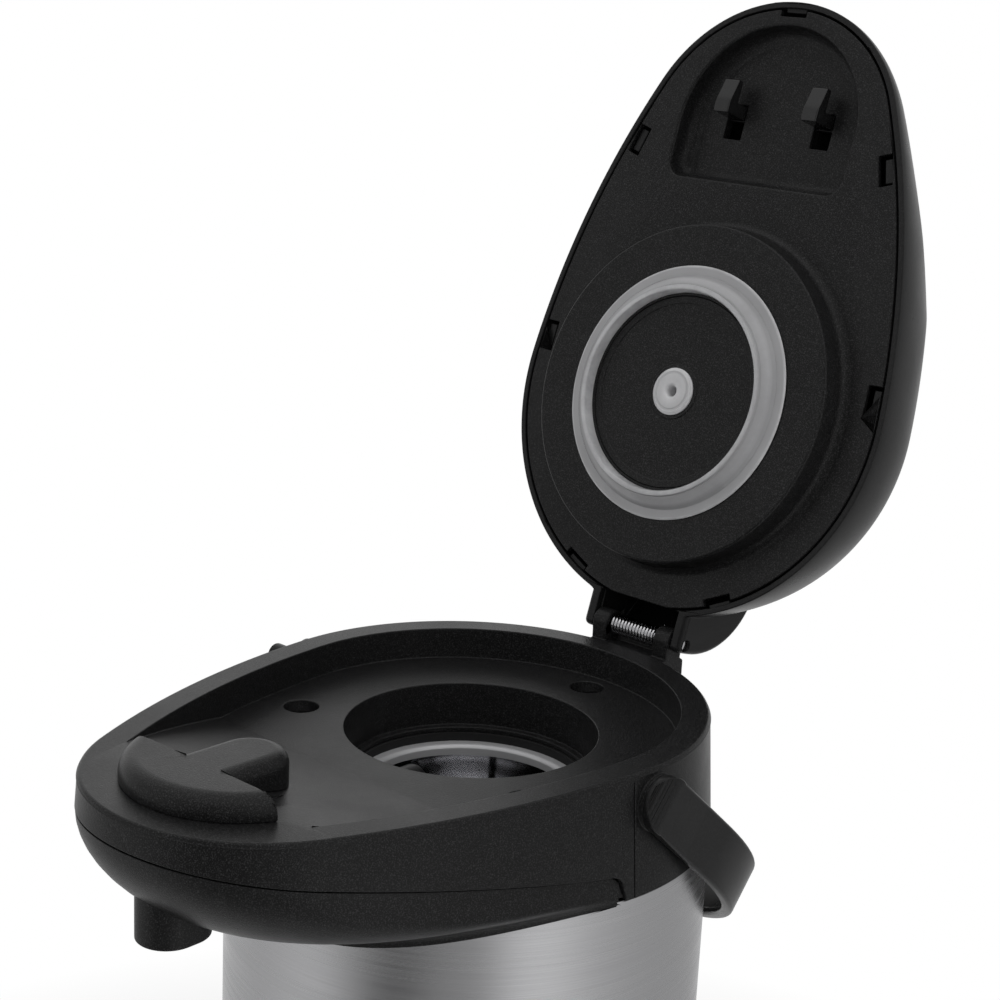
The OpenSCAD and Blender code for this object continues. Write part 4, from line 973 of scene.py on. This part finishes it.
def strap_section(groove):
    """Closed outline of (outward, across): rounded outside, grooved along the inside."""
    t, w, r = BAIL_T / 2, BAIL_W / 2, 1.3
    outline = arc(t - r, w - r, r, sweep(0, 90, 4)) + arc(-t + r, w - r, r, sweep(90, 90, 4))
    g = w - GROOVE_EDGE
    outline += [(-t, g), (-t + groove, g - 0.4), (-t + groove, -g + 0.4), (-t, -g)]
    return outline + arc(-t + r, -w + r, r, sweep(180, 90, 4)) + arc(t - r, -w + r, r, sweep(270, 90, 4))


def make_handle():
    rings = []
    for x, out, nx, ny in bail_path():
        groove = GROOVE_DEPTH if out >= BAIL_W else 0.02
        rings.append([(x + u * nx, out + u * ny, v) for u, v in strap_section(groove)])
    handle = loft("carrying_handle", rings)
    drop = BAIL_T - 0.8
    end_round = (BAIL_W ** 2 / 4 + drop ** 2) / (2 * drop)
    for side in (-1, 1):
        end = rod("end", BAIL_W / 2 + 0.01, (side * (BAIL_X - BAIL_T), 0, 0), (side * BAIL_X, 0, 0), 128)
        falling_face = circle(end_round, (side * (BAIL_X - end_round), 0), 160)
        keep_inside(end, prism("falling_face", falling_face, -BAIL_W, BAIL_W))
        add(handle, end)
        cut(handle, rod("bore", PIVOT_R + BORE_FIT, (side * (BAIL_X - 12), 0, 0),
                        (side * (BAIL_X - CAP_FACE + 0.3), 0, 0)))
    soften(handle, 0.5, 3, 40)
    move(handle, Matrix.Rotation(-HANG, 4, "X"))
    move(handle, Matrix.Translation((0, 0, (RIM_Z - PIVOT_DROP) * MM)))
    return hand_over(handle, "handle", "lid_plastic", "handle")


# Lid


def top_at(y):
    """Height of the lid's top over a place along the centre line: level, then falling to the tip."""
    past = FALL_Y - y
    soft = (past + math.sqrt(past * past + 16)) / 2
    return LID_H - (LID_H - LID_TIP_H) * soft / (FALL_Y + NOSE_REACH)


def dome(name, inset, low, layers=26):
    outline, one_in = egg(), egg(-1)
    rings = [egg_ring(low, -inset)]
    for k in range(layers + 1):
        a = math.pi / 2 * k / layers
        rise = math.sin(a) ** DOME_POWER
        ring = []
        for (x, y), (u, v) in zip(outline, one_in):
            share = min(1, (y + NOSE_REACH) / TIP_ZONE)
            shoulder = TIP_SHOULDER + (LID_SHOULDER - TIP_SHOULDER) * share
            run_in = shoulder * (1 - max(0, math.cos(a)) ** DOME_POWER) + inset
            at = y + (v - y) * run_in
            height = LID_EDGE + (top_at(at) - LID_EDGE) * rise - inset * k / layers
            ring.append((x + (u - x) * run_in, at, height))
        rings.append(ring)
    return loft(name, rings, strips=True)


def housing(inset, steps=18):
    """Side view of the hump over the hinge: a quarter of an ellipse that runs up into the dome."""
    length, out = 26, 3.1
    back, base, top = HINGE_Y + out - inset, HINGE_Z + 4, LID_H - 1 - inset
    points = [(HINGE_Y - length, LID_GAP + inset - 2), (back, LID_GAP + inset - 2)]
    for a in quarter(steps):
        points.append((back - (length + out) * (1 - math.cos(a)), base + (top - base) * math.sin(a)))
    return points


def clip_spots():
    """Places of the cover's clips round its edge, with the edge's direction."""
    spots = []
    for x, y, a in ((0, -NOSE_REACH, 0), (57.5, -92, 73.5), (76.3, -12, 87.5), (34.5, 72.2, 154)):
        turn = math.radians(a)
        spots.append((x, y, turn))
        if x:
            spots.append((-x, y, -turn))
    return spots


def at_clip(piece, spot):
    x, y, turn = spot
    return move(piece, Matrix.Translation((x * MM, y * MM, 0)) @ Matrix.Rotation(turn, 4, "Z"))


def make_lid_cover():
    cover = dome("lid_shell", 0, LID_GAP)
    hump = side_prism("hump", housing(0), EAR_OUT)
    keep_inside(hump, block("above_gap", (-FAR, -FAR, LID_GAP), (FAR, FAR, FAR)))
    soften(hump, 2.2, 5, 40)
    add(cover, hump)
    cut(cover, dome("inside", LID_T, -1), side_prism("hump_inside", housing(LID_T), EAR_IN - 0.2))
    for spot in clip_spots():
        tab = at_clip(block("clip", (-4.4, 0.5, 2.2), (4.4, LID_T + 1.6, 3.6)), spot)
        add(cover, tab)
    cut(cover, block("knuckle_room", (-EAR_IN, HEAD_R - 4, -1), (EAR_IN, FAR, LID_GAP + 3)),
        hinge_rod("knuckle_turn", KNUCKLE_R + 1.5, -EAR_IN + 0.1, EAR_IN - 0.1),
        hinge_rod("pin_bore", PIN_R + BORE_FIT, -EAR_OUT - 1, EAR_OUT + 1, 48),
        prism("button_room", circle(SLEEVE_R + SEAT_FIT, steps=144), LID_H / 2, FAR),
        prism("bezel_room", circle(BEZEL_R + SEAT_FIT, steps=144), LID_H - 1.2, FAR),
        block("lock_room", (-4.8, LOCK_Y - 2.5, LID_H / 2), (4.8, LOCK_Y + 9.5, FAR)),
        block("tab_room", (-TAB_W - 0.5, -FAR, TAB_LOW - 0.5),
              (TAB_W + 0.5, TAB_BACK + LATCH_TRAVEL + 0.5, TAB_HIGH + 0.5)))
    return on_lid(soften(cover, 0.4, 2, 34), "lid", "lid_plastic", "lid_cover")


def tip_outline(extra, z):
    r = BLOCK_R + 1.2 + extra
    back = STEM_Y + 6 + extra
    corner = max(0.8, 6 + extra)
    points = arc(0, BLOCK_Y, r, half_turn(64, math.pi))
    for cx, start in ((r - corner, 0), (-r + corner, 90)):
        points += arc(cx, back - corner, corner, sweep(start, 90, 8))
    return [(x, y, z) for x, y in points]


def tip_recess(lip=1.2, fillet=5, steps=6):
    """Room for the spout block: a rounded lip, walls with a little draft and a filleted floor."""
    rings = [tip_outline(lip, -1)]
    for a in quarter(steps):
        rings.append(tip_outline(lip * (1 - math.sin(a)), LID_GAP + lip * (1 - math.cos(a))))
    for a in quarter(steps):
        rings.append(tip_outline(-0.2 - fillet * (1 - math.cos(a)), TIP_DEPTH - fillet * (1 - math.sin(a))))
    return loft("recess", rings)


def make_lid_inner():
    top = LID_GAP + PLATE_T
    plate = prism("inner_plate", egg(-LID_T - PLATE_GAP), LID_GAP, top)
    foot = [(DISC_R + 0.6 + 3.4 * (1 - math.sin(a)), LID_GAP - 3.4 * (1 - math.cos(a))) for a in quarter(6)]
    rim = [(DISC_R - 1 + math.cos(a), -DISC_DROP + 1 - math.sin(a)) for a in quarter(5)]
    disc = turned("disc", [
        (0, LID_GAP + 0.6), (DISC_R + 4, LID_GAP + 0.6), *foot, *rim, (0, -DISC_DROP)], steps=192)
    tub_low, tub_high = LID_GAP + 0.01, TIP_DEPTH + TIP_WALL
    add(plate, disc, loft("tub", [tip_outline(TIP_WALL, tub_low), tip_outline(TIP_WALL, tub_high)]))
    inner_r = RING_INNER
    add(plate, turned("ring_seat", [(inner_r - 2, -DISC_DROP - 1.8), (inner_r + 1.2, -DISC_DROP - 1.8),
                                    (inner_r + 1.2, top + 4), (inner_r - 2, top + 4)]))
    cut(plate, turned("disc_hollow", [(inner_r + 1.3, -DISC_DROP + 2.2), (DISC_R - 2.2, -DISC_DROP + 2.2),
                                      (DISC_R - 2.2, FAR), (inner_r + 1.3, FAR)]))
    cut(plate, prism("pump_room", circle(inner_r - 2, steps=144), -FAR, FAR))
    cut(plate, tip_recess())
    for side in (-1, 1):
        left, right = hook_span(side, SLOT_GAP)
        cut(plate, block("hook_slot", (left, SLOT_Y, 0), (right, SLOT_Y + SLOT_LEN, FAR)))
    cut(plate, block("hinge_side", (-EAR_OUT - 0.4, HEAD_R - 4, -1), (EAR_OUT + 0.4, FAR, FAR)))
    for spot in clip_spots():
        cut(plate, at_clip(block("clip_notch", (-5.6, 0.2, -1), (5.6, LID_T + 3.4, FAR)), spot))
    add(plate, block("spring_wall", (-18, -76, top - 1), (18, -74, CARRIAGE_Z + CARRIAGE_T + 1)))
    return on_lid(soften(plate, 0.4, 3, 30), "lid", "black_plastic", "lid_inner")


def make_seal_ring():
    face, rest, bung = DISC_DROP, DECK_DROP - 0.1, MOUTH_R - 0.5
    profile = [(RING_INNER + 1.4, -face - 0.05), (RING_INNER + 1.4, -face - 1.8),
               (RING_INNER - 1, -face - 1.8), (RING_INNER - 0.7, -RING_DROP + 0.5),
               (RING_INNER - 0.3, -RING_DROP), (RING_INNER + 0.5, -RING_DROP - 0.15),
               (RING_INNER + 1.2, -RING_DROP + 0.1), (RING_INNER + 1.6, -RING_DROP + 0.9),
               (RING_INNER + 2.1, -RING_DROP + 1.0), (bung - 1.4, -rest - 2.6), (bung - 0.5, -rest - 1.5),
               (bung, -rest - 0.5), (bung + 0.4, -rest), (RING_R - 1, -rest), (RING_R - 0.3, -rest + 0.15),
               (RING_R, -rest + 0.5), (RING_R - 0.3, -face - 0.05)]
    ring = turned("mouth_ring", profile, steps=192)
    return on_lid(smooth(ring, 38), "lid", "silicone", "seal_ring", material=CLEAR_SILICONE)


def make_pump_floor():
    low = -DISC_DROP - 1.6
    plate = turned("pump_plate", [
        (GROMMET_R - 1.6, low), (GROMMET_R + 1.2, low), (GROMMET_R + 1.6, low + 0.3),
        (RING_INNER - 5, low + 0.3), (RING_INNER - 4.6, low), (RING_INNER - 2.4, low),
        (RING_INNER - 2.05, low + 0.35), (RING_INNER - 2.05, low + 3), (GROMMET_R - 1.6, low + 3)],
        steps=160)
    return on_lid(smooth(plate, 30), "lid", "black_plastic", "pump_floor")


def make_grommet():
    low = -DISC_DROP - 1.6
    profile = [(1.6, low + 1.2), (1.8, low - 0.4), (2.3, low - 1.3), (3.1, low - 1.7), (4.6, low - 1.65),
               (6.2, low - 1.5), (6.6, low - 1.15), (7.1, low - 1.15), (7.5, low - 1.3), (8.1, low - 1.0),
               (GROMMET_R, low - 0.5), (GROMMET_R, low), (GROMMET_R - 1.6, low), (GROMMET_R - 1.6, low + 3),
               (GROMMET_R, low + 3), (GROMMET_R - 1, low + 4.4), (1.6, low + 4.4)]
    grommet = turned("vent_bush", profile, steps=64)
    return on_lid(smooth(grommet, 40), "lid", "silicone", "vent_grommet")


def make_latch():
    """Two hooks under one bar, and the tab at the lid's tip that pushes them."""
    z0, z1 = CARRIAGE_Z, CARRIAGE_Z + CARRIAGE_T
    front, stem, toe = WING_Y - 3, SLOT_Y + SLOT_GAP, WING_Y - HOOK_CATCH
    hooks = None
    for side in (-1, 1):
        lead_in = [(stem + STEM_T - 1 + math.cos(a), 1 - HOOK_DROP - math.sin(a)) for a in quarter(4)]
        hook = side_prism("latch_hooks", [
            (stem + STEM_T, z0 + 0.3), *lead_in, (stem + 1, -HOOK_DROP), (stem - 0.6, 0.3 - HOOK_DROP),
            (stem - 2, 0.8 - HOOK_DROP), (toe, CATCH_Z - TOE_T), (toe, CATCH_Z - 0.4), (toe + 0.4, CATCH_Z),
            (stem, CATCH_Z), (stem, z0 + 0.3)], HOOK_W / 2, side * HOOK_X)
        hooks = hook if hooks is None else add(hooks, hook)
    on_lid(soften(hooks, 0.55, 4, 24), "latch", "gloss_black", "latch_carriage")

    half = HOOK_X + HOOK_W / 2 + 2
    bar = block("latch_bar", (-half, front, z0), (half, BLOCK_Y + 13, z1))
    for x in (-9, 0, 9):
        cut(bar, block("pocket", (x - 3, front + 4, z0 + 1), (x + 3, BLOCK_Y + 9, FAR)))
    for side in (-1, 1):
        left, right = hook_span(side, 1)
        cut(bar, block("opening", (left, stem + STEM_T + 0.2, -FAR), (right, BLOCK_Y + 9, FAR)))
    on_lid(soften(bar, 0.3, 2, 30), "latch", "black_plastic")

    tab = dome("release_tab", 0.4, 0)
    keep_inside(tab, block("tab_room", (-TAB_W, -FAR, TAB_LOW), (TAB_W, TAB_BACK, TAB_HIGH)))
    add(tab, block("arm", (-8, TAB_BACK - 2, TAB_LOW), (8, front, z1)))
    on_lid(soften(tab, 0.4, 2, 34), "latch", "gloss_black", "latch_release")


def make_lock():
    z = LID_H - BUTTON_SKIRT - 3
    knob_z = LID_H + 0.3
    lock = block("lock_tongue", (-4.5, LOCK_Y - 5, z), (4.5, -BUTTON_R - 0.8, z + 2.4))
    add(lock, block("stem", (-4.4, LOCK_Y - 2.2, z + 0.5), (4.4, LOCK_Y + 2.2, knob_z + 1)))
    rings = []
    for grow, height in ((0, 0), (0, 1.3), (-0.25, 1.8), (-0.8, 2.2)):
        outline = (arc(5, LOCK_Y, 4 + grow, sweep(-90, 180, 16))
                   + arc(-5, LOCK_Y, 4 + grow, sweep(90, 180, 16)))
        rings.append([(x, y, knob_z + height) for x, y in outline])
    knob = loft("knob", rings)
    for k in (-2, 0, 2):
        cut(knob, block("grip", (-5, LOCK_Y + k - 0.35, knob_z + 1.7), (5, LOCK_Y + k + 0.35, FAR)))
    add(lock, knob)
    return on_lid(soften(lock, 0.3, 2, 34), "lock", "gloss_black", "lock_slider")


def make_button():
    low = LID_H - BUTTON_SKIRT
    top = LID_H + 2.4
    under = top - 4
    profile = [(0, top), (6, top), (16, top - 0.25), (25, top - 0.7), (26, top - 1.0), (27, top - 1.0),
               (28, top - 0.8), (BUTTON_R - 3.5, top - 1.1), (BUTTON_R - 1.6, top - 1.5),
               (BUTTON_R - 0.5, top - 2.2), (BUTTON_R, top - 3.2), (BUTTON_R, low + 0.4),
               (BUTTON_R - 0.4, low), (BUTTON_R - 2.2, low),
               (BUTTON_R - 2.2, under), (0, under)]
    button = turned("push_button", profile, steps=160)
    cut(button, rod("intake", 1.2, (0, 0, under - 5), (0, 0, top + 5), 32))
    on_lid(soften(button, 0.2, 2, 34), "button", "lid_plastic", "pump_button")

    low = LID_H - BUTTON_SKIRT - STROKE - 2
    bore, bezel_low, bezel_top = BUTTON_R + 0.5, LID_H - 1.2, LID_H + 0.9
    sleeve = turned("button_guide", [
        (bore, low), (SLEEVE_R, low), (SLEEVE_R, bezel_low), (BEZEL_R, bezel_low),
        (BEZEL_R, bezel_top - 1.5), (BEZEL_R - 0.6, bezel_top - 0.6), (BEZEL_R - 2, bezel_top),
        (bore + 0.5, bezel_top), (bore, bezel_top - 0.5)], steps=160)
    z = LID_H - BUTTON_SKIRT - 3
    cut(sleeve, block("lock_window", (-5.1, -FAR, z - 0.6), (5.1, 0, z + 3)))
    on_lid(soften(sleeve, 0.2, 2, 34), "lid", "lid_plastic", "button_sleeve")


def shorten(piece):
    """Gives a soft piece of the lid its own copy of its mesh; its place is given on the shut lid."""
    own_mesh(piece)


def make_pump():
    low = -DISC_DROP + 1.4
    high = LID_H - 1.6
    folds, outer, depth, wall = 6, 33, 5, 0.9
    skin = []
    for k in range(2 * folds * 6 + 1):
        wave = math.cos(math.pi * k / 6)
        skin.append((outer - depth / 2 - depth / 2 * wave, low + (high - low) * k / (12 * folds)))
    bellows = turned("pump_bellows", skin + [(r - wall, z) for r, z in reversed(skin)], steps=96)
    on_lid(smooth(bellows, 60), "lid", "dark_rubber", "bellows")
    shorten(bellows)

    wire_r, coils, coil_r = 0.9, 8, 16
    points = []
    for k in range(coils * 24 + 1):
        turn = 2 * math.pi * k / 24
        share = k / (coils * 24)
        height = low + wire_r + (high - low - 2 * wire_r) * share
        points.append((coil_r * math.cos(turn), coil_r * math.sin(turn), height))
    coil = on_lid(wound_wire("pump_coil", points, wire_r, 8), "lid", "mirror_steel", "pump_spring")
    shorten(coil)

    pair = None
    middle = CARRIAGE_Z + CARRIAGE_T / 2
    for x in (-SPRING_X, SPRING_X):
        points = []
        for k in range(9 * 16 + 1):
            turn = 2 * math.pi * k / 16
            along = SPRING_Y + SPRING_GAP + SPRING_LEN * k / (9 * 16)
            points.append((x + 1.3 * math.cos(turn), along, middle + 1.3 * math.sin(turn)))
        small = wound_wire("latch_coils", points, 0.3, 6)
        pair = small if pair is None else add(pair, small)
    on_lid(smooth(pair, 50), "lid", "mirror_steel", "latch_springs")
    shorten(pair)


for make in (make_head, make_front_cover, make_nozzle, make_spout_block, make_deck_screws, make_body,
             make_flask, make_bracket, make_pin, make_hinge_spring, make_handle, make_lid_cover,
             make_lid_inner, make_seal_ring, make_pump_floor, make_grommet, make_latch, make_lock,
             make_button, make_pump):
    make()

# Camera

CAMERA_AZ = math.radians(42.209)
CAMERA_EL = math.radians(15.207)
CAMERA_ROLL = math.radians(2.643)
CAMERA_AT = (445.3, -481.7, 247.2 + RIM_Z)
CAMERA_FOCAL = 2.071
SENSOR_W = 36

back = Vector((math.sin(CAMERA_AZ) * math.cos(CAMERA_EL),
               -math.cos(CAMERA_AZ) * math.cos(CAMERA_EL),
               math.sin(CAMERA_EL)))
right = Vector((math.cos(CAMERA_AZ), math.sin(CAMERA_AZ), 0))
up = back.cross(right)
across = math.cos(CAMERA_ROLL) * right + math.sin(CAMERA_ROLL) * up
upward = math.cos(CAMERA_ROLL) * up - math.sin(CAMERA_ROLL) * right
lens = bpy.data.cameras.new("camera")
lens.sensor_width = SENSOR_W
lens.lens = SENSOR_W * CAMERA_FOCAL
lens.clip_start, lens.clip_end = 0.01, 50
camera = bpy.data.objects.new("camera", lens)
bpy.context.scene.collection.objects.link(camera)
turn = Matrix((across, upward, back)).transposed().to_4x4()
camera.matrix_world = Matrix.Translation(Vector(CAMERA_AT) * MM) @ turn
bpy.context.scene.camera = camera

# Floor, background and lamps

# Brightness of the room's walls round the object, by the angle in degrees from the camera's side
ROOM = ((-180, 1.0), (-158, 0.9), (-135, 0.6), (-100, 0.46), (-62, 0.66), (-42, 0.3), (-34, 0.1),
        (-20, 0.1), (-12, 0.28), (10, 0.3), (24, 0.8), (38, 0.85), (59, 0.52), (83, 0.42), (104, 0.4),
        (132, 0.45), (154, 0.8), (180, 1.0))
CEILING = 0.9
FADE_FROM, FADE_TO = 0.15, 0.42


def room_group():
    """Brightness of the room in a direction from the object, as polished surfaces see it."""
    tree = bpy.data.node_groups.new("room_walls", "ShaderNodeTree")
    tree.interface.new_socket("Direction", in_out="INPUT", socket_type="NodeSocketVector")
    tree.interface.new_socket("Level", in_out="OUTPUT", socket_type="NodeSocketFloat")
    inner, outer = tree.nodes.new("NodeGroupInput"), tree.nodes.new("NodeGroupOutput")
    direction = node_of(tree, "ShaderNodeSeparateXYZ")
    tree.links.new(inner.outputs["Direction"], direction.inputs["Vector"])
    ahead = arithmetic(tree, "MULTIPLY", direction.outputs["Y"], -1)
    compass = arithmetic(tree, "ARCTAN2", direction.outputs["X"], ahead)
    bearing = arithmetic(tree, "SUBTRACT", compass, CAMERA_AZ)
    wrapped = arithmetic(tree, "WRAP", bearing, math.pi, -math.pi)
    ramp = node_of(tree, "ShaderNodeValToRGB")
    tree.links.new(spread(tree, wrapped, -math.pi, math.pi, 0, 1), ramp.inputs["Fac"])
    stops = ramp.color_ramp.elements
    for stop, level in ((stops[0], ROOM[0][1]), (stops[1], ROOM[-1][1])):
        stop.color = (level, level, level, 1)
    for angle, level in ROOM[1:-1]:
        stops.new((angle + 180) / 360).color = (level, level, level, 1)
    tree.links.new(ramp.outputs["Color"], outer.inputs["Level"])
    return tree


def white_room():
    """A pale floor that fades to white far out, under a world that looks white and lights softly."""
    walls = room_group()
    bm = bmesh.new()
    bmesh.ops.create_circle(bm, cap_ends=True, segments=96, radius=6)
    floor = piece_from("floor", bm)
    made, tree, shader = material_of("floor_paper", Base_Color=(0.86, 0.86, 0.86, 1), Roughness=0.9)
    glow = node_of(tree, "ShaderNodeEmission")
    rays = node_of(tree, "ShaderNodeLightPath").outputs
    place = node_of(tree, "ShaderNodeNewGeometry").outputs["Position"]
    level = placed(tree, walls, Direction=place)["Level"]
    feed(tree, glow, Strength=spread(tree, rays["Is Glossy Ray"], 0, 1, 1, level))
    length = node_of(tree, "ShaderNodeVectorMath", operation="LENGTH")
    tree.links.new(place, length.inputs[0])
    far_out = spread(tree, length.outputs["Value"], FADE_FROM, FADE_TO, 0, 1)
    onward = arithmetic(tree, "MAXIMUM", rays["Is Glossy Ray"], rays["Is Transmission Ray"])
    seen = arithmetic(tree, "MAXIMUM", rays["Is Camera Ray"], onward)
    blend = mixed_shader(tree, arithmetic(tree, "MULTIPLY", far_out, seen), shader.outputs["BSDF"],
                         glow.outputs["Emission"])
    feed(tree, tree.nodes["Material Output"], Surface=blend)
    floor.data.materials.append(made)

    world = bpy.data.worlds.new("room")
    bpy.context.scene.world = world
    world.use_nodes = True
    tree = world.node_tree

    def background(strength):
        node = node_of(tree, "ShaderNodeBackground")
        feed(tree, node, Color=(1, 1, 1, 1), Strength=strength)
        return node.outputs["Background"]

    direction = node_of(tree, "ShaderNodeTexCoord").outputs["Generated"]
    level = placed(tree, walls, Direction=direction)["Level"]
    height = node_of(tree, "ShaderNodeSeparateXYZ")
    feed(tree, height, Vector=direction)
    overhead = spread(tree, height.outputs["Z"], 0.6, 0.9, 0, 1)
    reflected = spread(tree, overhead, 0, 1, level, CEILING)
    rays = node_of(tree, "ShaderNodeLightPath").outputs
    through = arithmetic(tree, "MAXIMUM", rays["Is Camera Ray"], rays["Is Transmission Ray"])
    lit = mixed_shader(tree, rays["Is Glossy Ray"], background(0.35), background(reflected))
    feed(tree, tree.nodes["World Output"], Surface=mixed_shader(tree, through, lit, background(1)))


def softbox(name, at, aim, width, height, power):
    light = bpy.data.lights.new(name, "AREA")
    light.shape = "RECTANGLE"
    light.size, light.size_y = width, height
    light.energy = power
    lamp = bpy.data.objects.new(name, light)
    bpy.context.scene.collection.objects.link(lamp)
    lamp.location = at
    lamp.rotation_mode = "QUATERNION"
    lamp.rotation_quaternion = (Vector(aim) - Vector(at)).to_track_quat("-Z", "Y")
    lamp.visible_camera = False
    lamp.visible_glossy = False
    return lamp


white_room()
softbox("top_light", (0.2, 0.1, 1.9), (0, 0, 0.35), 1.6, 1.6, 10)
softbox("right_light", (1.5, 0.3, 0.9), (0, 0, 0.35), 1.0, 1.8, 7)
softbox("left_light", (-1.0, -1.1, 0.9), (0, 0, 0.3), 1.0, 1.8, 8)
softbox("front_light", (0.9, -1.6, 1.1), (0, 0, 0.35), 1.0, 1.2, 7)

bpy.context.scene.view_settings.view_transform = "Standard"
